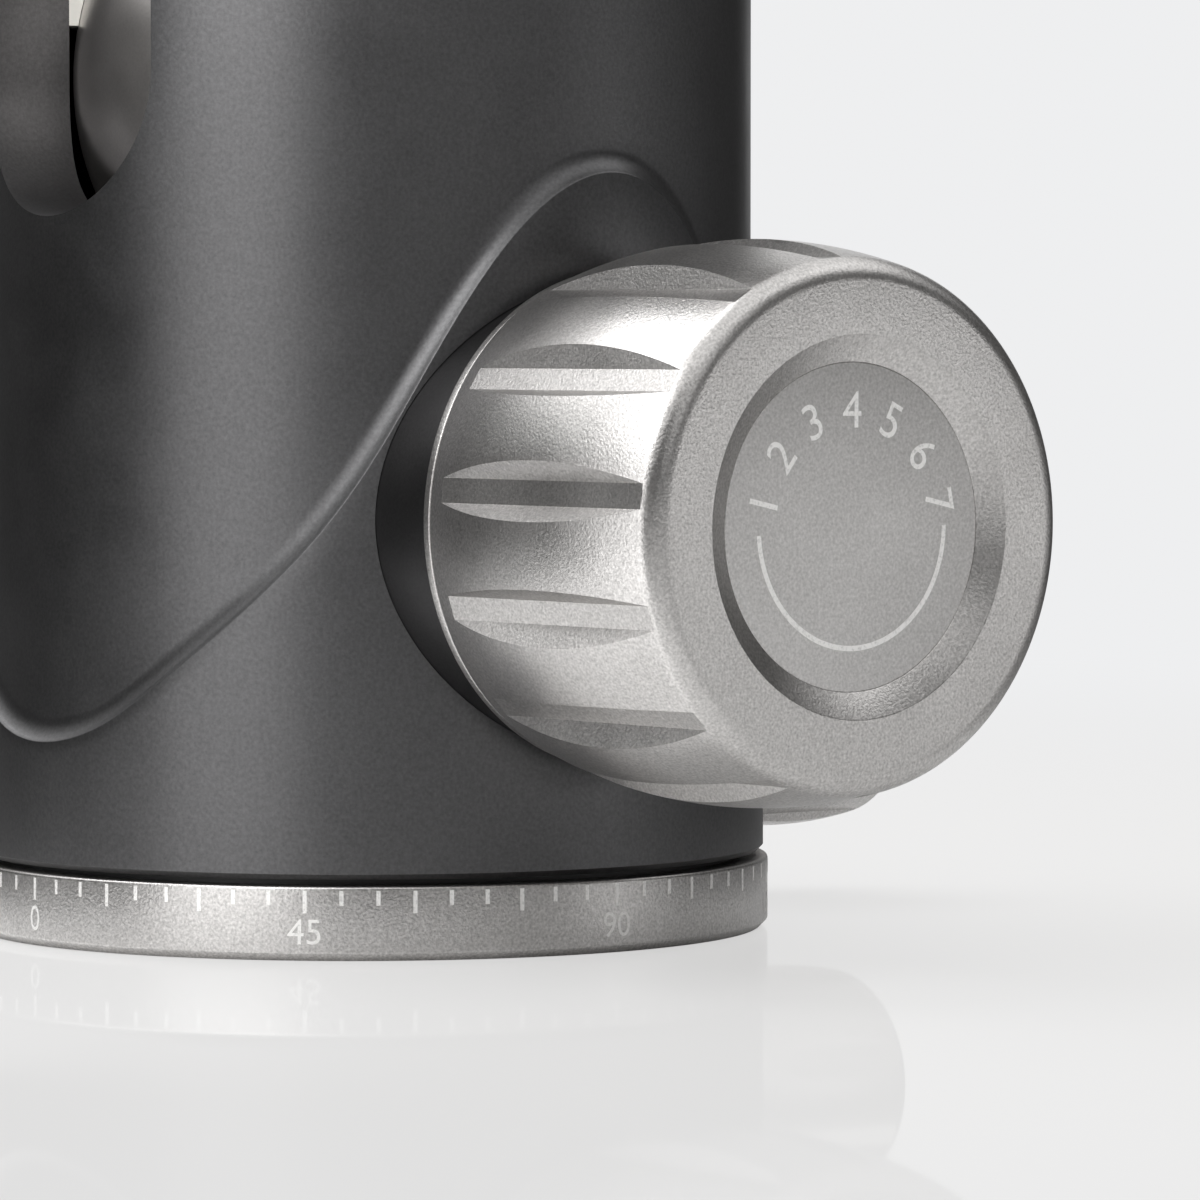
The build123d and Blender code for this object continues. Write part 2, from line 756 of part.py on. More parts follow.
# Housing shell, bored from below for the ball, with its lip, drop notch and collar pockets
lip_radius = sqrt(chamber_radius**2 - lip_height**2)
shoulder_radius = sqrt(chamber_radius**2 - race_high**2)
lip_middle = (race_high + lip_height) / 2
with BuildPart() as housing:
    with BuildSketch(Plane.XY.offset(housing_bottom)):
        Circle(upper_radius)
    extrude(amount=housing_top - housing_bottom)
    top_edge = housing.edges().filter_by(GeomType.CIRCLE).sort_by(Axis.Z)[-1]
    fillet(top_edge, top_round)
    for band in skirt_faces:
        thicken(band, amount=skirt_step)
    foot_edges = [
        edge
        for edge in housing.edges().filter_by(GeomType.CIRCLE, reverse=True)
        if edge.length > skirt_radius
        and abs(Vector((edge @ 0.4).X, (edge @ 0.4).Y).length - upper_radius) < running_gap
    ]
    fillet(foot_edges, wave_foot_round)
    foot_edge = housing.edges().filter_by(GeomType.CIRCLE).sort_by(Axis.Z)[0]
    chamfer(foot_edge, skirt_break)
    with BuildSketch(Plane.XZ):
        with BuildLine():
            Polyline(
                (0, housing_bottom - overrun),
                (bearing_radius + cover_gap, housing_bottom - overrun),
                (bearing_radius + cover_gap, core_bottom),
                (core_flange_radius + running_gap, core_bottom),
                (core_flange_radius + running_gap, core_bottom + core_flange_thickness),
                (chamber_radius, core_bottom + core_flange_thickness),
                (chamber_radius, ball_height + race_high),
                (shoulder_radius, ball_height + race_high),
            )
            ThreePointArc(
                (shoulder_radius, ball_height + race_high),
                (sqrt(chamber_radius**2 - lip_middle**2), ball_height + lip_middle),
                (lip_radius, housing_top),
            )
            Polyline(
                (lip_radius, housing_top),
                (lip_radius, housing_top + overrun),
                (0, housing_top + overrun),
                (0, housing_bottom - overrun),
            )
        make_face()
    revolve(axis=Axis.Z, mode=Mode.SUBTRACT)
    with BuildSketch(Plane.XZ):
        with Locations((0, ball_height)):
            Circle(notch_radius)
        with Locations((0, ball_height + lip_height)):
            Rectangle(2 * notch_radius, 2 * lip_height)
    extrude(amount=skirt_radius + overrun, mode=Mode.SUBTRACT)
    pockets = (
        (ball_lock_side, ball_lock_height, ball_lock_floor, ball_lock_collar_radius, wedge_radius),
        (friction_side, ball_lock_height, friction_floor, friction_collar_radius, wedge_radius),
        (pan_lock_side, pan_lock_height, pan_lock_floor, pan_lock_collar_radius, shoe_radius),
    )
    for out, height, floor, collar_radius, bore_radius in pockets:
        with BuildSketch(end_plane(out, height, floor)):
            Circle(collar_radius + running_gap)
        extrude(amount=skirt_radius, mode=Mode.SUBTRACT)
        with BuildSketch(end_plane(out, height, piston_radius)):
            Circle(bore_radius + running_gap)
        extrude(amount=skirt_radius, mode=Mode.SUBTRACT)
    with Locations(end_plane(ball_lock_side, ball_lock_height, ball_lock_floor)):
        with PolarLocations(collar_screw_ring_radius, 2):
            Hole(small_screw_radius, depth=collar_screw_depth)
    with Locations(Plane(origin=(0, 0, core_bottom + core_flange_thickness), z_dir=(0, 0, -1))):
        with PolarLocations(core_screw_ring_radius, core_screw_count, start_angle=45):
            Hole(small_screw_radius, depth=small_screw_length - core_flange_thickness)
save(housing.part, "housing")

# Ball with the flat and bore that carry the stem
with BuildPart() as ball:
    with Locations((0, 0, ball_height)):
        Sphere(ball_radius)
    with BuildSketch(Plane.XY.offset(ball_height + ball_flat)):
        Circle(ball_radius)
    extrude(amount=ball_radius, mode=Mode.SUBTRACT)
    with Locations((0, 0, ball_height + ball_flat)):
        Hole(stem_shank_radius + running_gap, depth=stem_shank_length + cover_gap)
save(ball.part, "ball")

# Stem: waisted neck between the ball and the flange under the clamp
stem_foot = ball_height + ball_flat + face_gap
waist_height = (stem_foot + flange_under) / 2
with BuildPart() as stem:
    with BuildSketch(Plane.XZ):
        with BuildLine():
            Polyline(
                (0, stem_foot - stem_shank_length),
                (stem_shank_radius, stem_foot - stem_shank_length),
                (stem_shank_radius, stem_foot),
                (stem_radius, stem_foot),
            )
            ThreePointArc(
                (stem_radius, stem_foot),
                (stem_radius - stem_waist, waist_height),
                (stem_radius, flange_under),
            )
            Polyline(
                (stem_radius, flange_under),
                (stem_flange_radius - stem_flange_break, flange_under),
                (stem_flange_radius, flange_under + stem_flange_break),
                (stem_flange_radius, clamp_foot),
                (0, clamp_foot),
                (0, stem_foot - stem_shank_length),
            )
        make_face()
    revolve(axis=Axis.Z)
    with Locations((0, 0, clamp_foot)):
        Hole(clamp_bolt_radius, depth=clamp_bolt_depth)
save(stem.part, "stem")

# Quick-release clamp: fixed jaw and floor in one body, moving jaw on two guide pins
bolt_seat = clamp_floor - cover_gap - clamp_bolt_head_height
level_middle = level_radius + level_edge - clamp_half_width
level_ring_bottom = clamp_top - level_depth
with BuildPart() as clamp_body:
    with BuildSketch(Plane.XZ):
        with BuildLine():
            Polyline(
                (-clamp_half_width, clamp_foot),
                (jaw_split, clamp_foot),
                (jaw_split, clamp_floor),
                (-dovetail_half_width, clamp_floor),
                (-dovetail_half_width, clamp_floor + dovetail_foot),
                (-dovetail_lip, clamp_floor + dovetail_foot + dovetail_rise),
                (-dovetail_lip, clamp_top),
                (-clamp_half_width, clamp_top),
                close=True,
            )
        make_face()
    extrude(amount=clamp_length / 2, both=True)
    fillet(clamp_body.edges().filter_by(Axis.Z).group_by(Axis.X)[0], clamp_corner_radius)
    chamfer(clamp_body.faces().sort_by(Axis.Z)[-1].edges(), clamp_edge_break)
    chamfer(clamp_body.faces().sort_by(Axis.Z)[0].edges(), clamp_edge_break)
    with Locations((0, 0, clamp_floor)):
        CounterBoreHole(
            clamp_bolt_radius + running_gap,
            clamp_bolt_head_radius + cover_gap,
            clamp_floor - bolt_seat,
        )
        Box(
            relief_groove_width,
            clamp_length + overrun,
            2 * relief_groove_depth,
            mode=Mode.SUBTRACT,
        )
    with BuildSketch(end_plane(ball_lock_side, clamp_screw_height, clamp_spindle_tip - running_gap)):
        Circle(clamp_spindle_radius + running_gap)
    extrude(amount=jaw_split, mode=Mode.SUBTRACT)
    with BuildSketch(end_plane(ball_lock_side, clamp_screw_height, guide_pin_reach - running_gap)):
        with GridLocations(guide_pin_spacing, 0, 2, 1):
            Circle(guide_pin_radius + running_gap)
    extrude(amount=jaw_split, mode=Mode.SUBTRACT)
    with Locations((level_middle, -level_place, clamp_top)):
        Hole(level_radius, depth=level_depth)
save(clamp_body.part, "clamp_body")

flange_pocket = flange_thickness + 2 * running_gap
clamp_flange = clamp_spindle_radius + clamp_flange_wall
with BuildPart() as clamp_jaw:
    with BuildSketch(Plane.XZ):
        with BuildLine():
            Polyline(
                (jaw_face, clamp_foot),
                (clamp_half_width, clamp_foot),
                (clamp_half_width, clamp_top),
                (dovetail_lip, clamp_top),
                (dovetail_lip, clamp_floor + dovetail_foot + dovetail_rise),
                (dovetail_half_width, clamp_floor + dovetail_foot),
                (dovetail_half_width, clamp_floor),
                (jaw_face, clamp_floor),
                close=True,
            )
        make_face()
    extrude(amount=clamp_length / 2, both=True)
    fillet(clamp_jaw.edges().filter_by(Axis.Z).group_by(Axis.X)[-1], clamp_corner_radius)
    chamfer(clamp_jaw.faces().sort_by(Axis.Z)[-1].edges(), clamp_edge_break)
    chamfer(clamp_jaw.faces().sort_by(Axis.Z)[0].edges(), clamp_edge_break)
    with BuildSketch(end_plane(ball_lock_side, clamp_screw_height, 0)):
        Circle(clamp_spindle_radius + running_gap)
    extrude(amount=clamp_half_width + overrun, mode=Mode.SUBTRACT)
    with BuildSketch(end_plane(ball_lock_side, clamp_screw_height, jaw_face)):
        Circle(clamp_flange + running_gap)
    extrude(amount=flange_pocket, mode=Mode.SUBTRACT)
    with BuildSketch(end_plane(ball_lock_side, clamp_screw_height, jaw_face)):
        with GridLocations(guide_pin_spacing, 0, 2, 1):
            Circle(guide_pin_radius)
    extrude(amount=guide_pin_depth, mode=Mode.SUBTRACT)
save(clamp_jaw.part, "clamp_jaw")

with BuildPart() as clamp_guide_pins:
    with BuildSketch(end_plane(ball_lock_side, clamp_screw_height, guide_pin_reach)):
        with GridLocations(guide_pin_spacing, 0, 2, 1):
            Circle(guide_pin_radius)
    extrude(amount=jaw_face + guide_pin_depth - guide_pin_reach)
save(clamp_guide_pins.part, "clamp_guide_pins")

clamp_knob_rear = clamp_half_width + cover_gap
clamp_spindle_end = head_seat_of(clamp_knob_rear + backplate_thickness, clamp_knob_length)
clamp_spindle = spindle(
    ball_lock_side,
    clamp_screw_height,
    clamp_spindle_radius,
    clamp_spindle_tip,
    jaw_face + running_gap,
    clamp_flange,
    clamp_knob_rear,
    clamp_spindle_end,
)
save(clamp_spindle, "clamp_spindle")
save_knob(
    "clamp",
    ball_lock_side,
    clamp_screw_height,
    clamp_knob_rear,
    clamp_knob_length,
    clamp_knob_radius,
    clamp_flutes,
    clamp_spindle_radius,
)

with BuildPart() as clamp_bolt:
    with BuildSketch(Plane.XY.offset(bolt_seat)):
        Circle(clamp_bolt_head_radius)
    extrude(amount=clamp_bolt_head_height)
    with BuildSketch(Plane.XY.offset(bolt_seat)):
        Circle(clamp_bolt_radius)
    extrude(amount=clamp_foot - clamp_bolt_depth - bolt_seat)
    with BuildSketch(Plane.XY.offset(bolt_seat + clamp_bolt_head_height)):
        RegularPolygon(clamp_bolt_hex, 6)
    extrude(amount=-clamp_bolt_head_height / 2, mode=Mode.SUBTRACT)
save(clamp_bolt.part, "clamp_bolt")

# Round spirit level let into the fixed jaw
with BuildPart() as level_cup:
    with BuildSketch(Plane.XY.offset(level_ring_bottom)):
        with Locations((level_middle, -level_place)):
            Circle(level_radius)
    extrude(amount=level_depth)
    with Locations((level_middle, -level_place, clamp_top)):
        Hole(level_radius - level_wall, depth=level_depth - level_floor)
save(level_cup.part, "level_cup")

with BuildPart() as level_vial:
    with BuildSketch(Plane.XY.offset(level_ring_bottom + level_floor)):
        with Locations((level_middle, -level_place)):
            Circle(level_radius - level_wall)
    extrude(amount=level_depth - level_floor - level_sink)
save(level_vial.part, "level_vial")
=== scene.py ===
import json

from math import acos, asin, cos, pi, radians, sin, sqrt

import bmesh
import bpy
import numpy as np
from mathutils import Matrix, Vector


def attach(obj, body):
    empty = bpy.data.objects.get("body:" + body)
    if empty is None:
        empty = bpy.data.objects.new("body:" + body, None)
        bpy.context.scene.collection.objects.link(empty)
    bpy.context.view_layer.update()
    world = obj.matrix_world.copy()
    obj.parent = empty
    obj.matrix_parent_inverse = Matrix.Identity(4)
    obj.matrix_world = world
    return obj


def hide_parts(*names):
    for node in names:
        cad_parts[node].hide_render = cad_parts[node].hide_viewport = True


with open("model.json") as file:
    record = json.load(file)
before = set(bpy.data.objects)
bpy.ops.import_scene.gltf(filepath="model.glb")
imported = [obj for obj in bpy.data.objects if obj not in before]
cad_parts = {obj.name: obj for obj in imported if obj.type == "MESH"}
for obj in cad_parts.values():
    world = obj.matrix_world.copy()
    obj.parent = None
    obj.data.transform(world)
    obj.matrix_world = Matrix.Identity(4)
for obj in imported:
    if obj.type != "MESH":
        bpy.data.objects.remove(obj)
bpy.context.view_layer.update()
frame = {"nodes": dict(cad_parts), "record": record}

# Camera
# Stands low at the front right of the head, close to the ball lock knob, with a long lens that
# keeps the cylinder's sides upright.
MM = 0.001
camera_place = Vector((393.52, -288.79, 44.56)) * MM
camera_heading = radians(51.686)
camera_pitch = radians(-2.372)
camera_lens = 195.0
film_width = 36.0
nearest_seen = 0.02
farthest_seen = 40.0


def put(name, data):
    """Object in the scene, at the origin, made from a mesh, a lamp, a text or a camera."""
    made = bpy.data.objects.new(name, data)
    bpy.context.scene.collection.objects.link(made)
    return made


ahead = Vector(
    (
        -sin(camera_heading) * cos(camera_pitch),
        cos(camera_heading) * cos(camera_pitch),
        sin(camera_pitch),
    )
)
rightward = Vector((cos(camera_heading), sin(camera_heading), 0))
upward = rightward.cross(ahead)
camera = put("camera", bpy.data.cameras.new("camera"))
bpy.context.scene.camera = camera
camera.data.lens = camera_lens
camera.data.sensor_width = film_width
camera.data.clip_start = nearest_seen
camera.data.clip_end = farthest_seen
camera_turn = Matrix((rightward, upward, -ahead)).transposed().to_4x4()
camera.matrix_world = Matrix.Translation(camera_place) @ camera_turn

# Studio
# A pale glossy tabletop and a pale backdrop in a dark room. A panel stands close at the left for
# the housing's soft stripe, a low card lights the knob's face, and soft boxes hang overhead. The
# metal mirrors a table with painted shade at its far and left sides and a painted glow at its
# right.
bpy.context.scene.view_settings.view_transform = "Standard"
pale_tint = (0.985, 0.99, 1.0, 1)
room_tint = (1.0, 0.99, 0.98, 1)
backdrop_shade = 0.87
room_shade = 0.07
backdrop_distance = 1.2
backdrop_width = 0.9
backdrop_height = 0.6
floor_reach = 3.0
floor_drop = 0.00002
floor_shade = 0.88
floor_painted_falloff_share = 0.97
floor_lift = 0.02
floor_gloss_share = 0.15
floor_seen_shade = 0.82
floor_seen_tint = (1, 0.995, 0.99, 1)
floor_even_share = 0.84
floor_steep_share = 0.45
grazing_start = 0.80
grazing_end = 0.865
sweep_start = 0.06
sweep_end = 0.40
table_edge_start = 0.12
table_edge_end = 0.192
# Painted shade on the floor's far and left sides, seen only in reflections
far_painted_shade_start = 0.035
far_painted_shade_end = 0.09
left_painted_shade_start = -0.02
left_painted_shade_end = -0.07
painted_shade_share = 0.85
# Painted glow on the floor's right, seen only in reflections, where it lights the knob's face
right_painted_glow_start = 0.12
right_painted_glow_end = 0.22
right_painted_glow_shade = 0.89


def add(tree, kind, inputs=None, **settings):
    """Node in a tree; each named input takes a value, or a link from another node's output."""
    node = tree.nodes.new(kind)
    for name, value in settings.items():
        setattr(node, name, value)
    for name, value in (inputs or {}).items():
        if isinstance(value, bpy.types.NodeSocket):
            tree.links.new(value, node.inputs[name])
        else:
            node.inputs[name].default_value = value
    return node


def mixed(tree, share, first, second):
    """Shader that goes from the first to the second by a share."""
    return add(tree, "ShaderNodeMixShader", {"Fac": share, 1: first, 2: second}).outputs[0]


def eased(tree, value, start, end, low=0.0, high=1.0):
    """Goes softly from low to high while a value goes from start to end."""
    ends = {"Value": value, "From Min": start, "From Max": end, "To Min": low, "To Max": high}
    return add(tree, "ShaderNodeMapRange", ends, interpolation_type="SMOOTHSTEP").outputs[0]


def calculate(tree, operation, first, second=0.0):
    """Result of a math operation on two numbers."""
    return add(tree, "ShaderNodeMath", {0: first, 1: second}, operation=operation).outputs[0]


def calculate_vector(tree, operation, first, second=(0, 0, 0)):
    """Results of a math operation on two vectors: a Vector and, for a length, a Value."""
    return add(tree, "ShaderNodeVectorMath", {0: first, 1: second}, operation=operation).outputs


def glow(tree, strength, color=(1, 1, 1, 1)):
    """Surface that shines by itself."""
    return add(tree, "ShaderNodeEmission", {"Color": color, "Strength": strength}).outputs[0]


def new_material(name):
    """Empty material and its node tree."""
    made = bpy.data.materials.new(name)
    made.use_nodes = True
    made.node_tree.nodes.clear()
    return made, made.node_tree


def studio_sheet(name, corners, material):
    """Flat four-cornered sheet."""
    mesh = bpy.data.meshes.new(name)
    mesh.from_pydata(corners, [], [(0, 1, 2, 3)])
    mesh.materials.append(material)
    return put(name, mesh)


world = bpy.data.worlds.new("studio")
bpy.context.scene.world = world
world.use_nodes = True
tree = world.node_tree
tree.nodes.clear()
rays = add(tree, "ShaderNodeLightPath").outputs
room_light = {"Color": room_tint, "Strength": room_shade}
room = add(tree, "ShaderNodeBackground", room_light).outputs[0]
pale_light = {"Color": pale_tint, "Strength": backdrop_shade}
pale = add(tree, "ShaderNodeBackground", pale_light).outputs[0]
add(tree, "ShaderNodeOutputWorld", {"Surface": mixed(tree, rays["Is Camera Ray"], room, pale)})

floor_material, tree = new_material("studio_floor")
place = add(tree, "ShaderNodeTexCoord").outputs["Object"]
side = add(tree, "ShaderNodeSeparateXYZ", {"Vector": place}).outputs
distance = calculate_vector(tree, "LENGTH", place)["Value"]
rays = add(tree, "ShaderNodeLightPath").outputs
# Painted falloff of light: the floor's colour darkens slightly with distance from the object
shade = add(tree, "ShaderNodeValToRGB", {"Fac": distance})
for stop, share in zip(shade.color_ramp.elements, (1, floor_painted_falloff_share)):
    stop.color = (*[floor_shade * share] * 3, 1)
matt = add(tree, "ShaderNodeBsdfDiffuse", {"Color": shade.outputs["Color"]}).outputs[0]
polish = {"Color": (0.9, 0.9, 0.9, 1), "Roughness": 0.03}
gloss = add(tree, "ShaderNodeBsdfGlossy", polish).outputs[0]
# What the camera sees: an even pale top, glossy at low angles only, that fades to the backdrop
facing = add(tree, "ShaderNodeLayerWeight", {"Blend": 0.5}).outputs["Facing"]
even_share = eased(tree, facing, grazing_start, grazing_end, floor_steep_share, floor_even_share)
gloss_share = eased(tree, facing, grazing_start, grazing_end, 0.0, floor_gloss_share)
seen = mixed(tree, even_share, matt, glow(tree, floor_seen_shade, floor_seen_tint))
seen = mixed(tree, gloss_share, seen, gloss)
sweep = eased(tree, distance, sweep_start, sweep_end)
seen = mixed(tree, sweep, seen, glow(tree, backdrop_shade, pale_tint))
# What all other rays meet: the lit top, dark past its edge, with painted shade at its far and left
# sides and a painted glow at its right
lit = mixed(tree, floor_gloss_share, matt, gloss)
lit = add(tree, "ShaderNodeAddShader", {0: lit, 1: glow(tree, floor_lift)}).outputs[0]
beyond_edge = eased(tree, distance, table_edge_start, table_edge_end)
# Painted shade: the floor darkens at its far and left sides for every ray but the camera's
far_painted_shade = eased(tree, side["Y"], far_painted_shade_start, far_painted_shade_end, 0.0, painted_shade_share)
left_painted_shade = eased(tree, side["X"], left_painted_shade_start, left_painted_shade_end, 0.0, painted_shade_share)
edge_and_painted_shade = calculate(tree, "MAXIMUM", beyond_edge, far_painted_shade)
edge_and_painted_shade = calculate(tree, "MAXIMUM", edge_and_painted_shade, left_painted_shade)
# Painted glow: past the table's edge the floor shines at the room's level, and brightly at its
# right
room_and_painted_glow = eased(tree, side["X"], right_painted_glow_start, right_painted_glow_end, room_shade, right_painted_glow_shade)
lit = mixed(tree, edge_and_painted_shade, lit, glow(tree, room_and_painted_glow))
surface = mixed(tree, rays["Is Camera Ray"], lit, seen)
add(tree, "ShaderNodeOutputMaterial", {"Surface": surface})
around = ((-1, -1), (1, -1), (1, 1), (-1, 1))
corners = [(x * floor_reach, y * floor_reach, -floor_drop) for x, y in around]
floor = studio_sheet("studio_floor", corners, floor_material)

backdrop_material, tree = new_material("studio_backdrop")
rays = add(tree, "ShaderNodeLightPath").outputs
shown = calculate(tree, "MAXIMUM", rays["Is Camera Ray"], rays["Is Glossy Ray"])
clear = add(tree, "ShaderNodeBsdfTransparent").outputs[0]
surface = mixed(tree, shown, clear, glow(tree, backdrop_shade, pale_tint))
add(tree, "ShaderNodeOutputMaterial", {"Surface": surface})
behind = Vector((ahead.x, ahead.y, 0)).normalized() * backdrop_distance
sideways = rightward * backdrop_width / 2
left, right = behind - sideways, behind + sideways
raised = Vector((0, 0, backdrop_height))
corners = [left, right, right + raised, left + raised]
backdrop = studio_sheet("studio_backdrop", corners, backdrop_material)

# Each lamp is a rectangle with a place, an aim, a width, a height and its face's brightness
for name, place, aim, width, height, shine in (
    ("left_panel", (0.031, -0.089, 0.037), (0.014, -0.022, 0.036), 0.056, 0.070, 1.78),
    ("left_panel_high", (0.031, -0.089, 0.100), (0.014, -0.022, 0.080), 0.056, 0.050, 4.60),
    ("right_card", (0.560, 0.420, 0.036), (0.050, 0.010, 0.031), 0.300, 0.070, 1.52),
    ("top_softbox", (-0.160, -0.110, 0.400), (-0.160, -0.110, 0.0), 1.080, 1.080, 1.10),
    ("left_softbox", (-0.150, -0.085, 0.265), (0.050, -0.015, 0.045), 0.160, 0.160, 1.90),
    ("rear_softbox", (-0.110, -0.020, 0.330), (0.050, -0.010, 0.045), 0.180, 0.180, 5.40),
    ("front_softbox", (0.480, -0.050, 0.330), (0.050, 0.000, 0.030), 0.340, 0.340, 0.70),
    ("right_softbox", (0.200, 0.330, 0.380), (0.050, 0.000, 0.030), 0.300, 0.300, 0.45),
):
    lamp = bpy.data.lights.new(name, "AREA")
    lamp.shape = "RECTANGLE"
    lamp.size = width
    lamp.size_y = height
    lamp.energy = shine * pi * width * height
    holder = put(name, lamp)
    holder.location = place
    away = Vector(place) - Vector(aim)
    holder.rotation_euler = away.to_track_quat("Z", "Y").to_euler()
    holder.visible_camera = False

# Panning base
# Turned aluminium disc, bead blasted and anodised warm silver. Its spigot carries the housing,
# and the tripod's screw goes into the steel bushing underneath. It is turned a hair under 30 mm
# in radius, which leaves room for the marks on its rim.
base_radius = 29.975
base_height = 5.3
base_steps = 320
bevel_width = 0.6
bevel_round = 0.25
foot_round = 0.15
rim_round = 0.22
spigot_radius = 12.5
spigot_top = 21.4
bushing_radius = 7.57
socket_depth = 12.0
dimple_depth = 0.00004
cloud_share = 0.10
shine_swing = 0.03
crease_angle = 30.0


def blast_group():
    """Shader group for bead-blasted metal: fine dimples, broad unevenness and shade variation."""
    tree = bpy.data.node_groups.new("bead_blast", "ShaderNodeTree")
    for label in ("Dimple Scale", "Dimple Share", "Cloud Share"):
        tree.interface.new_socket(label, in_out="INPUT", socket_type="NodeSocketFloat")
    for label in ("Height", "Shade", "Uneven"):
        tree.interface.new_socket(label, in_out="OUTPUT", socket_type="NodeSocketFloat")
    given = add(tree, "NodeGroupInput").outputs
    place = add(tree, "ShaderNodeTexCoord").outputs["Object"]
    fine = {"Vector": place, "Scale": given["Dimple Scale"], "Detail": 2.0, "Roughness": 0.6}
    dimples = add(tree, "ShaderNodeTexNoise", fine).outputs["Fac"]
    broad = {"Vector": place, "Scale": 160.0, "Detail": 4.0}
    clouds = add(tree, "ShaderNodeTexNoise", broad).outputs["Fac"]
    swings = []
    for noise, share in ((dimples, "Dimple Share"), (clouds, "Cloud Share")):
        centred = calculate(tree, "SUBTRACT", noise, 0.5)
        swings.append(calculate(tree, "MULTIPLY", centred, given[share]))
    shade = calculate(tree, "ADD", calculate(tree, "ADD", *swings), 1.0)
    add(tree, "NodeGroupOutput", {"Height": dimples, "Shade": shade, "Uneven": clouds})
    return tree


bead_blast = blast_group()


def blasted_metal(name, color, roughness, grain, dimple_scale, dimple_share, metallic=1.0):
    """Anodised, bead-blasted metal with its own colour, gloss and grain."""
    made, tree = new_material(name)
    given = {"Dimple Scale": dimple_scale, "Dimple Share": dimple_share, "Cloud Share": cloud_share}
    blast = add(tree, "ShaderNodeGroup", given, node_tree=bead_blast).outputs
    tint = add(tree, "ShaderNodeVectorMath", {0: color, "Scale": blast["Shade"]}, operation="SCALE")
    spread = {
        "Value": blast["Uneven"],
        "From Min": 0.3,
        "From Max": 0.7,
        "To Min": roughness - shine_swing,
        "To Max": roughness + shine_swing,
    }
    relief = {"Height": blast["Height"], "Strength": grain, "Distance": dimple_depth}
    finish = {
        "Base Color": tint.outputs["Vector"],
        "Metallic": metallic,
        "Roughness": add(tree, "ShaderNodeMapRange", spread).outputs[0],
        "Normal": add(tree, "ShaderNodeBump", relief).outputs[0],
    }
    metal = add(tree, "ShaderNodeBsdfPrincipled", finish).outputs[0]
    add(tree, "ShaderNodeOutputMaterial", {"Surface": metal})
    return made


def rounded(outline, steps=5):
    """Outline with its marked corners rounded; a third number in a point is its corner radius."""
    points = []
    for index, point in enumerate(outline):
        here = Vector(point[:2])
        if len(point) < 3:
            points.append(here)
            continue
        before = (Vector(outline[index - 1][:2]) - here).normalized()
        after = (Vector(outline[(index + 1) % len(outline)][:2]) - here).normalized()
        half = acos(max(-1, min(1, before.dot(after)))) / 2
        back = point[2] / (sin(half) / cos(half))
        middle = here + (before + after).normalized() * (point[2] / sin(half))
        first = here + before * back - middle
        last = here + after * back - middle
        turn = first.angle_signed(last)
        for step in range(steps + 1):
            swing = -turn * step / steps
            across = first.x * cos(swing) - first.y * sin(swing)
            up = first.x * sin(swing) + first.y * cos(swing)
            points.append(middle + Vector((across, up)))
    return points


def outward_mesh(name, points, faces):
    """Mesh from points in millimetres, with its faces turned outwards."""
    mesh = bpy.data.meshes.new(name)
    mesh.from_pydata([Vector(point) * MM for point in points], [], faces)
    shell = bmesh.new()
    shell.from_mesh(mesh)
    bmesh.ops.recalc_face_normals(shell, faces=shell.faces)
    shell.to_mesh(mesh)
    shell.free()
    return mesh


def smooth(mesh, sharp=crease_angle):
    """Smooth shading, but for edges sharper than the given angle."""
    mesh.polygons.foreach_set("use_smooth", [True] * len(mesh.polygons))
    mesh.set_sharp_from_angle(angle=radians(sharp))


def mesh_piece(name, points, faces, material, body, slot, replaced=(), sharp=crease_angle):
    """Piece of the object from points in millimetres and faces."""
    mesh = outward_mesh(name, points, faces)
    smooth(mesh, sharp)
    mesh.materials.append(material)
    piece = put(name, mesh)
    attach(piece, body)
    if replaced:
        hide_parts(*replaced)
    return piece


def faces_between(rings, steps):
    """Faces between neighbouring rings of point numbers; a ring of one number is a tip."""
    faces = []
    for lower, upper in zip(rings, rings[1:]):
        for step in range(steps):
            after = (step + 1) % steps
            kept = list(dict.fromkeys((lower[step], lower[after], upper[after], upper[step])))
            if len(kept) > 2:
                faces.append(kept)
    return faces


def spun(outline, place, steps=256, closed=True):
    """Points and faces of an outline, closed or open, spun about the axis that place works on."""
    points, rings = [], []
    axis_reach = 1e-6
    for along, radius in outline:
        if radius < axis_reach:
            rings.append([len(points)] * steps)
            points.append(place(along, 0, 0))
        else:
            rings.append(list(range(len(points), len(points) + steps)))
            points.extend(place(along, 2 * pi * step / steps, radius) for step in range(steps))
    if closed:
        rings.append(rings[0])
    return points, faces_between(rings, steps)


def about_pan(along, angle, radius):
    """Place on a piece turned about the pan axis."""
    return (radius * cos(angle), radius * sin(angle), along)


silver = blasted_metal(
    "silver_anodising",
    color=(0.52, 0.507, 0.496),
    roughness=0.32,
    grain=0.60,
    dimple_scale=5000.0,
    dimple_share=1.20,
)
base_outline = rounded(
    [
        (socket_depth, 0),
        (socket_depth, bushing_radius),
        (0, bushing_radius, foot_round),
        (0, base_radius - bevel_width, foot_round),
        (bevel_width, base_radius, bevel_round),
        (base_height, base_radius, rim_round),
        (base_height, spigot_radius),
        (spigot_top, spigot_radius),
        (spigot_top, 0),
    ]
)
points, faces = spun(base_outline, about_pan, base_steps, closed=False)
mesh_piece("base_disc", points, faces, silver, "base", "silver_anodised", ["pan_base"])

# Degree dial
# Pale printed marks round the base's rim: a tick every five degrees, with a longer one each
# fifteen degrees and a plain number each forty-five.
print_rise = 0.012
tick_step = 5
ticks_per_long = 3
number_step = 45
tick_width = 0.30
short_tick = 1.05
long_tick = 1.60
tick_drop = 0.28
number_height = 1.80
number_drop = 3.20
worn_shade = 0.72


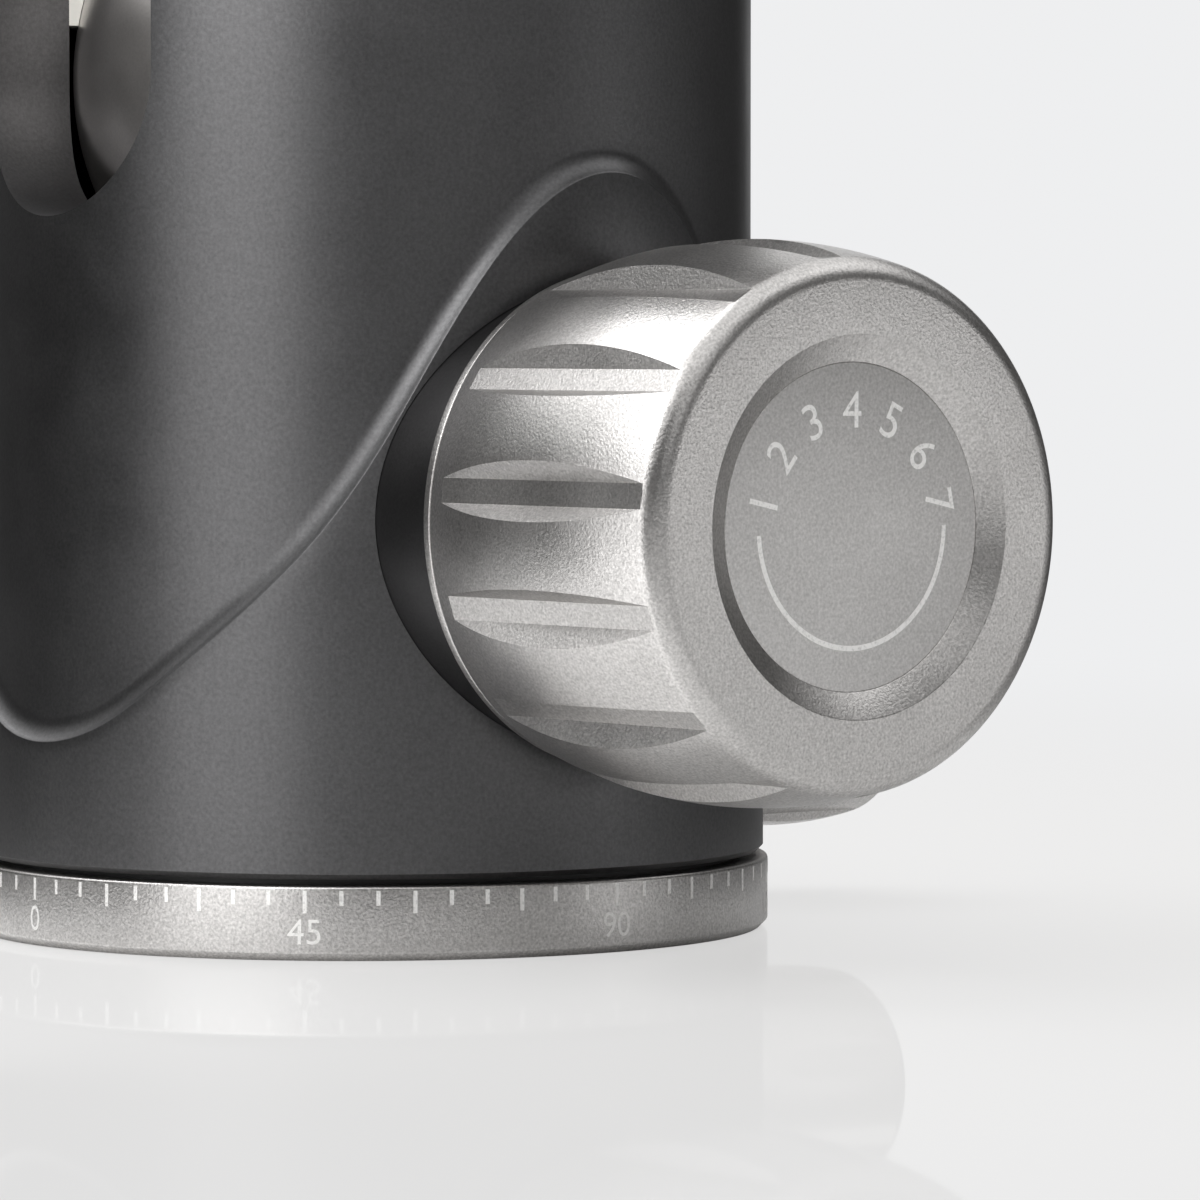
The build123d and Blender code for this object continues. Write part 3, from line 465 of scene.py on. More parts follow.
def pale_print(name, color, roughness, sheen):
    """Pale marking: slightly uneven, with a share of the bare metal's shine."""
    made, tree = new_material(name)
    place = add(tree, "ShaderNodeTexCoord").outputs["Object"]
    speckle = {"Vector": place, "Scale": 5200.0, "Detail": 2.0}
    wear = add(tree, "ShaderNodeTexNoise", speckle).outputs["Fac"]
    ramp = add(tree, "ShaderNodeValToRGB", {"Fac": wear})
    for stop, position, shade in zip(ramp.color_ramp.elements, (0.25, 0.5), (worn_shade, 1)):
        stop.position = position
        stop.color = (*[part * shade for part in color], 1)
    finish = {"Base Color": ramp.outputs["Color"], "Metallic": sheen, "Roughness": roughness}
    ink = add(tree, "ShaderNodeBsdfPrincipled", finish).outputs[0]
    add(tree, "ShaderNodeOutputMaterial", {"Surface": ink})
    return made


def combine(tree, x, y, z):
    """Vector from three numbers."""
    return add(tree, "ShaderNodeCombineXYZ", {"X": x, "Y": y, "Z": z}).outputs[0]


dial_ink = pale_print("dial_ink", (0.86, 0.85, 0.83), roughness=0.40, sheen=0.6)

tree = bpy.data.node_groups.new("ring_of_ticks", "GeometryNodeTree")
tree.is_modifier = True
for label in ("Count", "Long Every"):
    tree.interface.new_socket(label, in_out="INPUT", socket_type="NodeSocketInt")
for label in ("Radius", "Top", "Width", "Thickness", "Short", "Long"):
    tree.interface.new_socket(label, in_out="INPUT", socket_type="NodeSocketFloat")
tree.interface.new_socket("Ink", in_out="INPUT", socket_type="NodeSocketMaterial")
tree.interface.new_socket("Geometry", in_out="OUTPUT", socket_type="NodeSocketGeometry")
given = add(tree, "NodeGroupInput").outputs
number = add(tree, "GeometryNodeInputIndex").outputs[0]
sector = calculate(tree, "DIVIDE", 2 * pi, given["Count"])
angle = calculate(tree, "MULTIPLY", number, sector)
place_in_group = calculate(tree, "MODULO", number, given["Long Every"])
is_long = calculate(tree, "LESS_THAN", place_in_group, 0.5)
extra = calculate(tree, "SUBTRACT", given["Long"], given["Short"])
extra = calculate(tree, "MULTIPLY", is_long, extra)
length = calculate(tree, "ADD", given["Short"], extra)
half_length = calculate(tree, "MULTIPLY", length, 0.5)
middle = calculate(tree, "SUBTRACT", given["Top"], half_length)
sine = calculate(tree, "SINE", angle)
cosine = calculate(tree, "COSINE", angle)
across = calculate(tree, "MULTIPLY", given["Radius"], sine)
backward = calculate(tree, "MULTIPLY", given["Radius"], -1.0)
along = calculate(tree, "MULTIPLY", backward, cosine)
spot = combine(tree, across, along, middle)
spots = add(tree, "GeometryNodePoints", {"Count": given["Count"], "Position": spot})
bar_size = combine(tree, given["Width"], given["Thickness"], 1.0)
bar = add(tree, "GeometryNodeMeshCube", {"Size": bar_size})
placing = {
    "Points": spots.outputs[0],
    "Instance": bar.outputs["Mesh"],
    "Rotation": combine(tree, 0.0, 0.0, angle),
    "Scale": combine(tree, 1.0, 1.0, length),
}
placed = add(tree, "GeometryNodeInstanceOnPoints", placing)
real = add(tree, "GeometryNodeRealizeInstances", {0: placed.outputs[0]})
inking = {"Geometry": real.outputs[0], "Material": given["Ink"]}
inked = add(tree, "GeometryNodeSetMaterial", inking)
add(tree, "NodeGroupOutput", {0: inked.outputs[0]})


def grown(name, tree, values, body):
    """Plain mesh piece made by a Geometry Nodes tree with the given input values."""
    start = put(name + "_start", bpy.data.meshes.new(name + "_start"))
    modifier = start.modifiers.new("grow", "NODES")
    modifier.node_group = tree
    for item in tree.interface.items_tree:
        if item.in_out == "INPUT":
            modifier[item.identifier] = values[item.name]
    graph = bpy.context.evaluated_depsgraph_get()
    mesh = bpy.data.meshes.new_from_object(start.evaluated_get(graph))
    bpy.data.objects.remove(start)
    mesh.name = name
    piece = put(name, mesh)
    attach(piece, body)
    return piece


tick_sizes = {
    "Count": 360 // tick_step,
    "Long Every": ticks_per_long,
    "Radius": (base_radius + print_rise / 2) * MM,
    "Top": (base_height - tick_drop) * MM,
    "Width": tick_width * MM,
    "Thickness": print_rise * 2 * MM,
    "Short": short_tick * MM,
    "Long": long_tick * MM,
    "Ink": dial_ink,
}
grown("dial_ticks", tree, tick_sizes, "base")


def lettered(text, height):
    """Flat mesh of plain digits: points in millimetres about their own middle, and faces."""
    curve = bpy.data.curves.new("digits", "FONT")
    curve.body = text
    curve.align_x = "CENTER"
    curve.resolution_u = 6
    writing = put("digits", curve)
    graph = bpy.context.evaluated_depsgraph_get()
    mesh = bpy.data.meshes.new_from_object(writing.evaluated_get(graph))
    bpy.data.objects.remove(writing)
    places = [vertex.co.copy() for vertex in mesh.vertices]
    shapes = [list(polygon.vertices) for polygon in mesh.polygons]
    low = min(place.y for place in places)
    high = max(place.y for place in places)
    scale = height / (high - low)
    return [(place.x * scale, (place.y - (low + high) / 2) * scale) for place in places], shapes


def sheet_of(parts):
    """Join several lists of points and faces into one."""
    points, faces = [], []
    for more, shapes in parts:
        faces.extend([index + len(points) for index in shape] for shape in shapes)
        points.extend(more)
    return points, faces


parts = []
print_reach = base_radius + print_rise
for mark in range(0, 360, number_step):
    flat, shapes = lettered(str(mark), number_height)
    wrapped = []
    for across, up in flat:
        swing = radians(mark) + across / base_radius
        height = base_height - number_drop + up
        wrapped.append((print_reach * sin(swing), -print_reach * cos(swing), height))
    parts.append((wrapped, shapes))
points, faces = sheet_of(parts)
mesh_piece("dial_numbers", points, faces, dial_ink, "base", "silver_anodised")

# Housing
# One block of aluminium turned to a cylinder and milled: a raised skirt ends in a wave-shaped
# step with a hollow foot, and a U-shaped notch lets the stem drop. Bead blasted, charcoal.
upper_radius = 28.66
skirt_radius = 29.63
skirt_step = skirt_radius - upper_radius
housing_bottom = 5.75
housing_top = 75.2
housing_steps = 576
ball_height = 63.2
chamber_radius = 22.4
lip_height = 12.0
shoulder_height = 8.5
mouth_bevel = 0.5
mouth_land = 0.12
core_recess_top = 8.55
core_recess_radius = 26.65
bearing_recess_top = 6.35
bearing_recess_radius = 28.13
top_round = 3.0
cove_radius = 2.1
skirt_break = 0.4
edge_break = 0.10
edge_break_down = 0.4
edge_break_in = 0.15
edge_break_up = 0.5
wave_trough = 14.9
wave_rise = 41.0
wave_shares = ((0.0, 0.0), (0.23, 0.035), (0.41, 0.12), (0.715, 0.355), (0.877, 0.65), (1.0, 1.0))
wave_stretch_steps = 40
skirt_rows = 10
cove_rows = 10
wall_rows = 12
top_rows = 12
lip_rows = 6
notch_radius = 10.36
notch_steps = 96
notch_start = 2.0
cut_reach = 40.0
cut_overlap = 1.0
bore_start = 15.0
pocket_clearance = 0.05
lock_height = 31.15
pan_lock_height = 14.8
collar_pockets = (
    ("ball_lock", (1, 0, 0), lock_height, 6.2, 17.1, 7.2),
    ("friction", (-1, 0, 0), lock_height, 4.4, 9.6, 6.2),
    ("pan_lock", (0, 1, 0), pan_lock_height, 1.6, 7.4, 6.2),
)
charcoal = blasted_metal(
    "charcoal_anodising",
    color=(0.104, 0.103, 0.105),
    roughness=0.40,
    grain=0.20,
    dimple_scale=3800.0,
    dimple_share=0.70,
)


def wave_track():
    """Smooth curve through the wave's knots, from a level trough up to a crest."""
    knots = np.array([(a * upper_radius, wave_trough + b * wave_rise) for a, b in wave_shares])
    chords = np.linalg.norm(np.diff(knots, axis=0), axis=1)
    end_run = knots[-1] - knots[-2]
    matrix = np.eye(len(knots))
    sums = np.zeros_like(knots)
    sums[0] = (1, 0)
    sums[-1] = end_run / np.linalg.norm(end_run)
    for index in range(1, len(knots) - 1):
        before, after = chords[index - 1], chords[index]
        matrix[index, index - 1 : index + 2] = (after, 2 * (before + after), before)
        step_before = (knots[index] - knots[index - 1]) / before
        step_after = (knots[index + 1] - knots[index]) / after
        sums[index] = 3 * (after * step_before + before * step_after)
    slopes = np.linalg.solve(matrix, sums)
    track = []
    for index, chord in enumerate(chords):
        for share in np.linspace(0, 1, wave_stretch_steps, endpoint=False):
            low_weight = 2 * share**3 - 3 * share**2 + 1
            high_weight = -2 * share**3 + 3 * share**2
            low_pull = (share**3 - 2 * share**2 + share) * chord
            high_pull = (share**3 - share**2) * chord
            track.append(
                low_weight * knots[index]
                + high_weight * knots[index + 1]
                + low_pull * slopes[index]
                + high_pull * slopes[index + 1]
            )
    track.append(knots[-1])
    return np.array(track)


wave = wave_track()


def wave_height(angle):
    """Height of the step's edge at an angle round the housing."""
    return float(np.interp(abs(upper_radius * cos(angle)), wave[:, 0], wave[:, 1]))


def housing_column(angle):
    """Points of the housing's outside at one angle, from its foot to the top's inner edge."""
    edge = wave_height(angle)
    nudge = 0.002
    climb = (wave_height(angle + nudge) - wave_height(angle - nudge)) / (2 * nudge * upper_radius)
    stretch = sqrt(1 + climb**2)
    low = housing_bottom + skirt_break
    top = edge - edge_break * stretch
    column = [(housing_bottom, skirt_radius - skirt_break), (low, skirt_radius)]
    for row in range(1, skirt_rows + 1):
        column.append((low + (top - low) * row / skirt_rows, skirt_radius))
    break_height = edge - edge_break * edge_break_down * stretch
    column.append((break_height, skirt_radius - edge_break * edge_break_in))
    cove_start = acos((cove_radius - skirt_step + edge_break * edge_break_up) / cove_radius)
    cove_width = cove_radius * sin(cove_start)
    for row in range(cove_rows + 1):
        swing = cove_start * (1 - row / cove_rows)
        height = edge + (cove_width - cove_radius * sin(swing)) * stretch
        column.append((height, upper_radius + cove_radius * (1 - cos(swing))))
    low = edge + cove_width * stretch
    high = housing_top - top_round
    for row in range(1, wall_rows + 1):
        column.append((low + (high - low) * row / wall_rows, upper_radius))
    for row in range(1, top_rows + 1):
        swing = row / top_rows * pi / 2
        height = high + top_round * sin(swing)
        column.append((height, upper_radius - top_round * (1 - cos(swing))))
    return column


lip_radius = sqrt(chamber_radius**2 - lip_height**2)
inside = [
    (housing_top, lip_radius + mouth_bevel),
    (housing_top - mouth_bevel, lip_radius + mouth_land),
]
for row in range(1, lip_rows + 1):
    rise = lip_height + (shoulder_height - lip_height) * row / lip_rows
    inside.append((ball_height + rise, sqrt(chamber_radius**2 - rise**2)))
inside += [
    (ball_height + shoulder_height, chamber_radius),
    (core_recess_top, chamber_radius),
    (core_recess_top, core_recess_radius),
    (bearing_recess_top, core_recess_radius),
    (bearing_recess_top, bearing_recess_radius),
    (housing_bottom, bearing_recess_radius),
]
points, faces = [], []
rows = len(housing_column(0)) + len(inside)
for step in range(housing_steps):
    angle = 2 * pi * step / housing_steps
    column = housing_column(angle) + inside
    points.extend(about_pan(along, angle, radius) for along, radius in column)
    here = step * rows
    after = (step + 1) % housing_steps * rows
    for row in range(rows):
        above = (row + 1) % rows
        faces.append((here + row, after + row, after + above, here + above))
housing_shell = mesh_piece(
    "housing_shell", points, faces, charcoal, "housing_body", "charcoal_anodised", ["housing"]
)


def prism(name, outline, start, end, place):
    """Closed prism for cutting: outline points placed at two ends."""
    count = len(outline)
    ends = [place(a, b, start) for a, b in outline] + [place(a, b, end) for a, b in outline]
    sides = [(i, (i + 1) % count, (i + 1) % count + count, i + count) for i in range(count)]
    lids = [tuple(range(count)), tuple(range(count, 2 * count))]
    return put(name, outward_mesh(name, ends, sides + lids))


def cut(piece, cutters):
    """Take the cutters out of a piece and leave a plain mesh with its material."""
    for cutter in cutters:
        modifier = piece.modifiers.new(cutter.name, "BOOLEAN")
        modifier.operation = "DIFFERENCE"
        modifier.solver = "EXACT"
        modifier.object = cutter
    graph = bpy.context.evaluated_depsgraph_get()
    mesh = bpy.data.meshes.new_from_object(piece.evaluated_get(graph))
    piece.modifiers.clear()
    smooth(mesh)
    piece.data = mesh
    for cutter in cutters:
        bpy.data.objects.remove(cutter)


def about_knob(out, height):
    """Function that places (along, angle, radius) on a knob's axis; angle 0 is level, 90 is up."""
    outward = Vector(out)
    level = Vector((0, 0, 1)).cross(outward)

    def place(along, angle, radius):
        spot = outward * along + level * (radius * cos(angle)) + Vector((0, 0, height))
        return spot + Vector((0, 0, radius * sin(angle)))

    return place


def round_cutter(name, out, height, start, end, radius, steps=128):
    """Closed round bar for cutting along a knob's axis."""
    circle = [(2 * pi * step / steps, radius) for step in range(steps)]
    place = about_knob(out, height)
    return prism(name, circle, start, end, lambda angle, reach, along: place(along, angle, reach))


def through_front(across, up, out):
    """Place on the notch's outline, pushed out through the housing's front."""
    return (across, -out, ball_height + up)


notch = [(notch_radius, cut_reach), (-notch_radius, cut_reach)]
for step in range(notch_steps + 1):
    swing = pi + pi * step / notch_steps
    notch.append((notch_radius * cos(swing), notch_radius * sin(swing)))
cutters = [prism("notch_cutter", notch, notch_start, cut_reach, through_front)]
for name, out, height, depth, radius, bore in collar_pockets:
    floor_place = skirt_radius - depth
    reach = radius + pocket_clearance
    bore_end = floor_place + cut_overlap
    cutters.append(round_cutter(name + "_pocket", out, height, floor_place, cut_reach, reach))
    cutters.append(round_cutter(name + "_bore", out, height, bore_start, bore_end, bore))
cut(housing_shell, cutters)

# Ball
# Large aluminium ball, finely turned and anodised satin grey. It is held between the lip's race
# and the cup, and its flat carries the stem.
ball_radius = 22.0
ball_flat = 19.70
ball_steps = 96
stem_bore_radius = 5.05
stem_bore_depth = 3.0
ball_metal = blasted_metal(
    "ball_anodising",
    color=(0.52, 0.50, 0.486),
    roughness=0.34,
    grain=0.10,
    dimple_scale=5200.0,
    dimple_share=0.30,
)
ball_outline = [(ball_height - ball_radius, 0)]
for step in range(1, ball_steps + 1):
    swing = -pi / 2 + (pi / 2 + asin(ball_flat / ball_radius)) * step / ball_steps
    ball_outline.append((ball_height + ball_radius * sin(swing), ball_radius * cos(swing)))
ball_outline += [
    (ball_height + ball_flat, stem_bore_radius),
    (ball_height + ball_flat - stem_bore_depth, stem_bore_radius),
    (ball_height + ball_flat - stem_bore_depth, 0),
]
points, faces = spun(ball_outline, about_pan, closed=False)
mesh_piece("ball_sphere", points, faces, ball_metal, "tilting_ball", "ball_coat", ["ball"])

# Stem
# Waisted aluminium neck, turned and anodised black. Its stub sits in the ball, and the clamp is
# bolted to the flange on its top.
face_gap = 0.05
stem_foot = ball_height + ball_flat + face_gap
stub_length = 13.0
stub_radius = 5.0
neck_radius = 9.5
neck_waist = 0.8
neck_rows = 32
neck_steps = 192
flange_rise = 31.4
flange_bevel = 0.5
flange_radius = 15.0
flange_top = 96.6
black = blasted_metal(
    "black_anodising",
    color=(0.040, 0.040, 0.042),
    roughness=0.36,
    grain=0.12,
    dimple_scale=6400.0,
    dimple_share=0.50,
)
flange_under = ball_height + flange_rise
stem_outline = [
    (stem_foot - stub_length, 0),
    (stem_foot - stub_length, stub_radius),
    (stem_foot, stub_radius),
]
for row in range(neck_rows + 1):
    share = row / neck_rows
    bow = 1 - (2 * share - 1) ** 2
    along = stem_foot + (flange_under - stem_foot) * share
    stem_outline.append((along, neck_radius - neck_waist * bow))
stem_outline += [
    (flange_under, flange_radius - flange_bevel),
    (flange_under + flange_bevel, flange_radius),
    (flange_top, flange_radius),
    (flange_top, 0),
]
points, faces = spun(stem_outline, about_pan, neck_steps, closed=False)
mesh_piece("stem_neck", points, faces, black, "platform", "black_anodised", ["stem"])

# Lock knobs
# Aluminium barrels, bead blasted silver, with milled flutes for grip and a dished face. Each
# has a pressed-in cap, and sits on a thin backplate ahead of its collar.
collar_front = 30.43
plate_gap = 0.3
backplate_thickness = 0.7
rim_inset = 0.06
rim_corner = 0.1
rear_share = 0.904
crown_share = 0.52
front_round_share = 0.09
front_round_rows = 18
rear_chamfer = 0.3
least_rows = 24
rows_per_mm = 3
floor_share = 0.932
flute_half_width = 0.87
flute_phase = 18.3
least_wall = 0.0015
land_cuts = 10
wall_cuts = 3
floor_cuts = 4
dish_share = 0.665
dish_floor_share = 0.57
dish_depth = 1.0
dish_edge_round = 0.18
dish_floor_round = 0.12
cap_thickness = 1.4
cap_round = 0.06
turned_steps = 224
knob_crease = 9.0
cap_metal = blasted_metal(
    "cap_anodising",
    color=(0.56, 0.548, 0.538),
    roughness=0.40,
    grain=0.20,
    dimple_scale=4600.0,
    dimple_share=0.80,
)


def barrel_profile(rear, length, radius):
    """Outer profile of a barrel from its rear edge to the face's edge, as (along, radius)."""
    front = rear + length
    crown = rear + length * crown_share
    drop = radius * (1 - rear_share)
    arc = ((crown - rear) ** 2 + drop**2) / (2 * drop)
    soft = radius * front_round_share

    def skin(along):
        return radius - arc + sqrt(arc**2 - (along - crown) ** 2)

    gap = arc - soft
    offset = front - soft - crown
    middle_radius = radius - arc + sqrt(gap**2 - offset**2)
    tangent = asin(offset / gap)
    first = rear + rear_chamfer
    run = crown + arc * sin(tangent) - rear - rear_chamfer
    stations = [(rear, skin(rear) - rear_chamfer), (first, skin(first))]
    count = max(least_rows, int(length * rows_per_mm))
    for row in range(1, count + 1):
        along = first + run * row / count
        stations.append((along, skin(along)))
    for row in range(1, front_round_rows + 1):
        swing = pi / 2 - tangent - (pi / 2 - tangent) * row / front_round_rows
        stations.append((front - soft + soft * cos(swing), middle_radius + soft * sin(swing)))
    return stations, middle_radius


def fluted_barrel(name, out, height, rear, length, radius, flutes, body, replaced):
    """Barrel knob whose grid lines follow the milled edges of its flutes."""
    stations, face_radius = barrel_profile(rear, length, radius)
    floor = radius * floor_share
    corner_radius = sqrt(floor**2 + flute_half_width**2)
    corner_angle = asin(flute_half_width / corner_radius)
    sector = 2 * pi / flutes
    centres = [radians(flute_phase) + sector * flute for flute in range(flutes)]
    place = about_knob(out, height)
    tiny = 1e-9
    # The skin gets a row of its own where it crosses the corners of the flutes' floors
    sections = []
    for (along, here), (following, there) in zip(stations, stations[1:]):
        sections.append((along, here))
        if (here - corner_radius) * (there - corner_radius) < 0:
            share = (corner_radius - here) / (there - here)
            sections.append((along + (following - along) * share, corner_radius))
    sections.append(stations[-1])
    points, rings = [], []
    for along, here in sections:
        edge = corner_angle + least_wall
        fluted = here >= corner_radius - tiny
        if fluted:
            wall_top = acos(min(1, (floor - flute_half_width) / (sqrt(2) * here))) - pi / 4
            edge = max(edge, wall_top)
        angles = []
        for low, high, cuts in (
            (-sector / 2, -edge, land_cuts),
            (-edge, -corner_angle, wall_cuts),
            (-corner_angle, corner_angle, floor_cuts),
            (corner_angle, edge, wall_cuts),
            (edge, sector / 2, land_cuts),
        ):
            angles += [low + (high - low) * step / cuts for step in range(cuts)]
        ring = []
        for centre in centres:
            for angle in angles:
                reach = here
                if fluted and abs(angle) <= corner_angle + tiny:
                    reach = min(here, floor / cos(angle))
                elif fluted and abs(angle) < edge - tiny:
                    slanted = (floor - flute_half_width) / (cos(angle) - abs(sin(angle)))
                    reach = min(here, slanted)
                ring.append(len(points))
                points.append(place(along, centre + angle, reach))
        rings.append(ring)
    steps = len(rings[0])
    front = rear + length
    dish_floor = radius * dish_floor_share
    dish = rounded(
        [
            (front, face_radius),
            (front, radius * dish_share, dish_edge_round),
            (front - dish_depth, dish_floor, dish_floor_round),
            (front - dish_depth - cap_thickness, dish_floor),
        ]
    )[1:]
    for along, reach in dish:
        rings.append(list(range(len(points), len(points) + steps)))
        points.extend(place(along, centre + angle, reach) for centre in centres for angle in angles)
    rings.append([len(points)] * steps)
    points.append(place(front - dish_depth - cap_thickness, 0, 0))
    rings.insert(0, [len(points)] * steps)
    points.append(place(rear, 0, 0))
    faces = faces_between(rings, steps)
    return mesh_piece(name, points, faces, silver, body, "silver_anodised", replaced, knob_crease)


def turned_piece(name, outline, out, height, material, body, slot, replaced):
    """Ring turned about a knob's axis from a closed outline with marked corner radii."""
    points, faces = spun(rounded(outline), about_knob(out, height), turned_steps)
    return mesh_piece(name, points, faces, material, body, slot, replaced)


def dressed_knob(name, out, height, front, length, radius, flutes, shaft, body):
    """Barrel, cap and backplate of one knob, in place of their plain solids."""
    plate_rear = front + plate_gap
    rear = plate_rear + backplate_thickness
    replaced = [name + "_knob", name + "_screw"]
    fluted_barrel(name + "_barrel", out, height, rear, length, radius, flutes, body, replaced)
    rim = radius * rear_share - rim_inset
    plate = [
        (plate_rear, shaft),
        (plate_rear, rim, rim_corner),
        (rear, rim, rim_corner),
        (rear, shaft),
    ]
    replaced = [name + "_backplate"]
    turned_piece(name + "_rim_plate", plate, out, height, silver, body, "silver_anodised", replaced)
    face = rear + length - dish_depth
    back = face - cap_thickness
    disc = radius * dish_floor_share
    outline = rounded([(back, 0), (back, disc), (face, disc, cap_round), (face, 0)])
    points, faces = spun(outline, about_knob(out, height), turned_steps, closed=False)
    mesh_piece(name + "_disc", points, faces, cap_metal, body, "silver_cap", [name + "_cap"])
    return face


cap_faces = {}
for name, out, height, length, radius, flutes, shaft in (
    ("ball_lock", (1, 0, 0), lock_height, 25.4, 19.8, 14, 4.0),
    ("friction", (-1, 0, 0), lock_height, 13.5, 11.0, 9, 3.0),
    ("pan_lock", (0, 1, 0), pan_lock_height, 15.0, 9.2, 8, 3.0),
):
    cap_faces[name] = dressed_knob(
        name, out, height, collar_front, length, radius, flutes, shaft, name + "_control"
    )

# Lock collars
# Turned aluminium collars let into pockets of the housing and anodised darker than it. The
# lock's spindle runs in a brass bush at the front of each collar's bore.
collar_round = 0.3
collar_bore_round = 0.1
collar_metal = blasted_metal(
    "collar_anodising",
    color=(0.052, 0.051, 0.052),
    roughness=0.38,
    grain=0.12,
    dimple_scale=5200.0,
    dimple_share=0.60,
)
for name, out, height, depth, radius, bore in collar_pockets:
    floor = skirt_radius - depth
    ring = [
        (floor, bore),
        (floor, radius),
        (collar_front, radius, collar_round),
        (collar_front, bore, collar_bore_round),
    ]
    fitted = (collar_metal, "housing_body", "black_anodised", [name + "_collar"])
    turned_piece(name + "_collar_ring", ring, out, height, *fitted)

# Printed caps
# The ball lock's cap carries a pale half ring and plain numbers, and the other two caps carry a
# plain ring. All is thin print on the cap's anodised face.
ring_steps = 96
half_ring_radius = 8.3
half_ring_width = 0.38
half_ring_start = 183
half_ring_end = 360
cap_number_height = 2.5
cap_number_radius = 8.05
first_number_angle = 168
number_angle_step = 26
cap_numbers = "1234567"
plain_ring_width = 0.25
cap_ink = pale_print("cap_ink", (0.96, 0.95, 0.93), roughness=0.45, sheen=0.35)


def ring_print(radius, width, start, end, face, out, height):
    """Flat band of print on a cap's face between two angles."""
    place = about_knob(out, height)
    points = []
    for step in range(ring_steps + 1):
        angle = radians(start + (end - start) * step / ring_steps)
        points.append(place(face + print_rise, angle, radius - width / 2))
        points.append(place(face + print_rise, angle, radius + width / 2))
    return points, [(2 * i, 2 * i + 1, 2 * i + 3, 2 * i + 2) for i in range(ring_steps)]


def face_number(text, angle, face, out, height):
    """Number on a cap's face at an angle, with its top outwards."""
    flat, shapes = lettered(text, cap_number_height)
    outward = Vector(out)
    level = Vector((0, 0, 1)).cross(outward)
    swing = radians(angle)
    away = level * cos(swing) + Vector((0, 0, sin(swing)))
    along = away.cross(outward) * -1
    middle = outward * (face + print_rise) + Vector((0, 0, height)) + away * cap_number_radius
    return [middle + along * -a + away * b for a, b in flat], shapes


cap_place = (cap_faces["ball_lock"], (1, 0, 0), lock_height)
half_ring = (half_ring_radius, half_ring_width, half_ring_start, half_ring_end)
parts = [ring_print(*half_ring, *cap_place)]
for count, number in enumerate(cap_numbers):
    angle = first_number_angle - count * number_angle_step
    parts.append(face_number(number, angle, *cap_place))
points, faces = sheet_of(parts)
mesh_piece("ball_lock_print", points, faces, cap_ink, "ball_lock_control", "silver_cap")
for name, out, height, radius in (
    ("friction", (-1, 0, 0), lock_height, 4.4),
    ("pan_lock", (0, 1, 0), pan_lock_height, 3.6),
):
    points, faces = ring_print(radius, plain_ring_width, 0, 360, cap_faces[name], out, height)
    mesh_piece(name + "_print", points, faces, cap_ink, name + "_control", "silver_cap")

# Clamp
# Quick-release clamp of black anodised aluminium: a body with one fixed jaw, and a jaw that the
# knob's screw moves on two pins. Body, jaw, screw and pins are the frame's own solids, and the
# fluted knob is made here.
dressed_knob(
    "clamp",
    out=(1, 0, 0),
    height=100.9,
    front=27.0,
    length=12.5,
    radius=8.4,
    flutes=8,
    shaft=2.5,
    body="clamp_control",
)

# Round level
# Shallow cup let into the clamp's body, filled with clear green liquid. The liquid's material
# also shows the level's printed ring and its air bubble, a little off the middle.
vial_ring = 2.3
vial_ring_width = 0.3
bubble_radius = 1.7
bubble_rim = 0.2
bubble_drift = 0.35
liquid_green = (0.42, 0.62, 0.10, 1)
ring_black = (0.02, 0.02, 0.02, 1)
bubble_green = (0.66, 0.80, 0.34, 1)
bubble_rim_painted_shade = (0.20, 0.32, 0.04, 1)


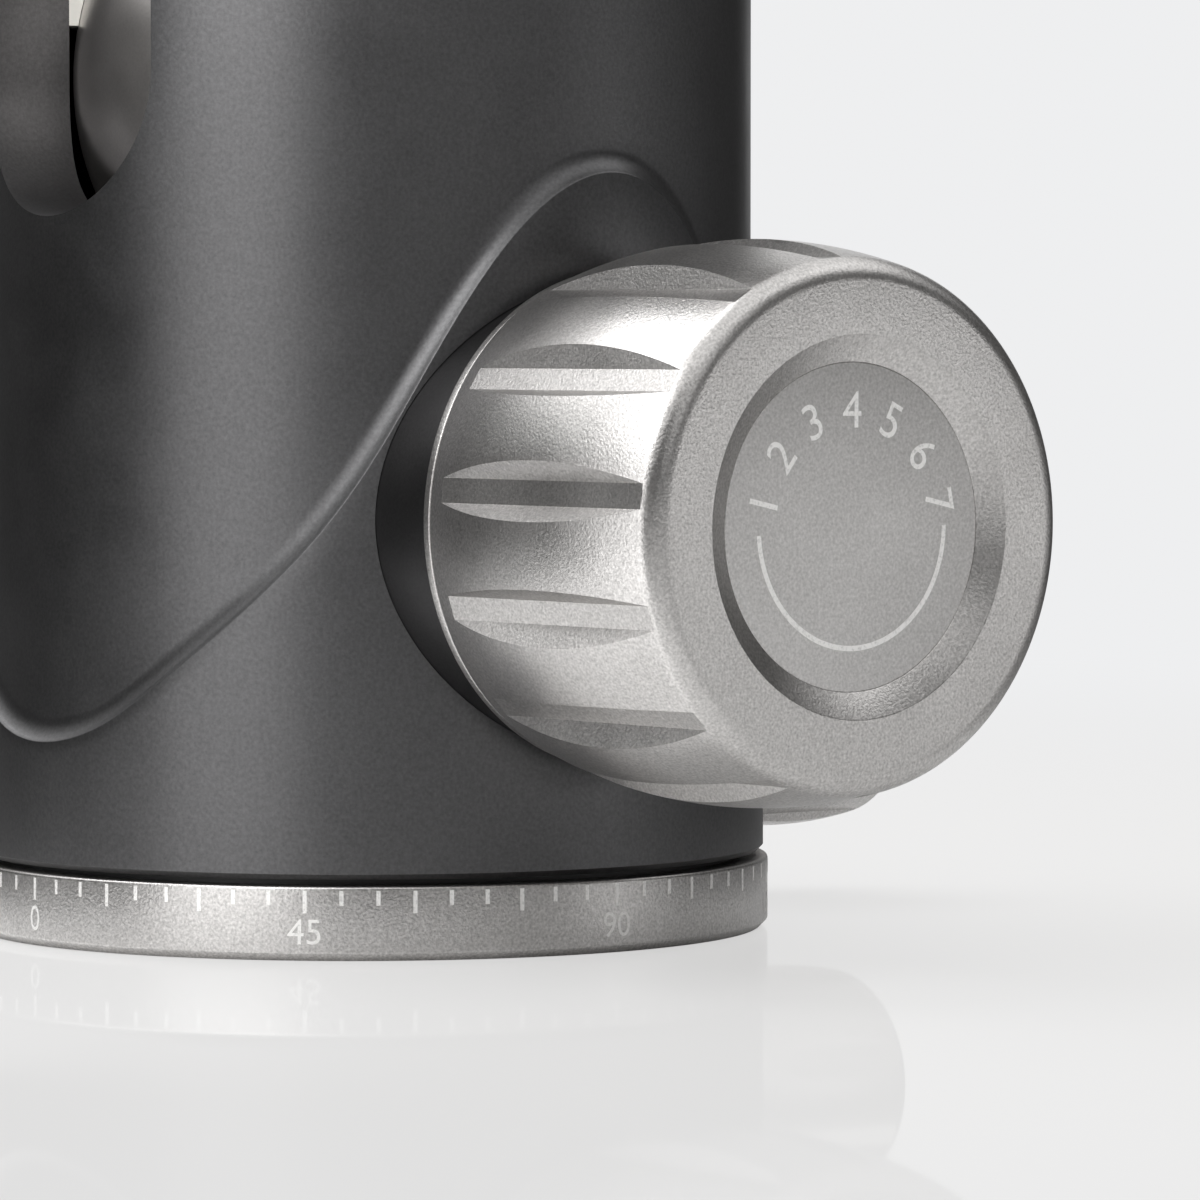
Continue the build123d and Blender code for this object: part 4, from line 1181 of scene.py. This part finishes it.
def level_liquid(name, middle):
    """Liquid of a round level seen from above, with its ring and bubble."""
    made, tree = new_material(name)
    place = add(tree, "ShaderNodeTexCoord").outputs["Object"]
    seen = liquid_green
    for shift, start, end, color in (
        (0.0, vial_ring, vial_ring + vial_ring_width, ring_black),
        (bubble_drift, 0.0, bubble_radius, bubble_green),
        # Painted shade: a darker green band round the bubble's curved edge
        (bubble_drift, bubble_radius - bubble_rim, bubble_radius, bubble_rim_painted_shade),
    ):
        centre = (middle.x + shift * MM, middle.y, 0)
        moved = calculate_vector(tree, "SUBTRACT", place, centre)["Vector"]
        level = calculate_vector(tree, "MULTIPLY", moved, (1, 1, 0))["Vector"]
        reach = calculate_vector(tree, "LENGTH", level)["Value"]
        beyond_start = calculate(tree, "GREATER_THAN", reach, start * MM)
        before_end = calculate(tree, "LESS_THAN", reach, end * MM)
        inside = calculate(tree, "MULTIPLY", beyond_start, before_end)
        paint = {"Factor": inside, 6: seen, 7: color}
        seen = add(tree, "ShaderNodeMix", paint, data_type="RGBA").outputs[2]
    finish = {"Base Color": seen, "Roughness": 0.12, "Coat Weight": 1.0}
    liquid = add(tree, "ShaderNodeBsdfPrincipled", finish).outputs[0]
    add(tree, "ShaderNodeOutputMaterial", {"Surface": liquid})
    return made


vial_corners = [Vector(corner) for corner in frame["nodes"]["level_vial"].bound_box]
vial = level_liquid("level_liquid", sum(vial_corners, Vector()) / len(vial_corners))

# Screws, bushes and inner works
# Turned steel, brass and plastic pieces with plain working finishes. They are the frame's own
# solids, each with the material of its slot.
finishes = {
    "charcoal_anodised": charcoal,
    "black_anodised": black,
    "silver_anodised": silver,
    "silver_cap": cap_metal,
    "ball_coat": ball_metal,
    "vial": vial,
}
for slot, name, color, roughness, grain, scale, share, metallic in (
    ("steel", "turned_steel", (0.56, 0.56, 0.55), 0.28, 0.05, 5200.0, 0.05, 1.0),
    ("black_steel", "black_oxide", (0.045, 0.045, 0.045), 0.38, 0.08, 5200.0, 0.10, 1.0),
    ("brass", "turned_brass", (0.72, 0.52, 0.24), 0.26, 0.05, 5200.0, 0.05, 1.0),
    ("race_plastic", "race_plastic", (0.80, 0.79, 0.74), 0.45, 0.05, 2600.0, 0.04, 0.0),
    ("bearing_plastic", "bearing_plastic", (0.02, 0.02, 0.02), 0.5, 0.05, 2600.0, 0.04, 0.0),
):
    finishes[slot] = blasted_metal(name, color, roughness, grain, scale, share, metallic)
for entry in frame["record"]["subparts"]:
    solid = frame["nodes"][entry["node"]]
    solid.data.materials.clear()
    solid.data.materials.append(finishes[entry["material_slot"]])
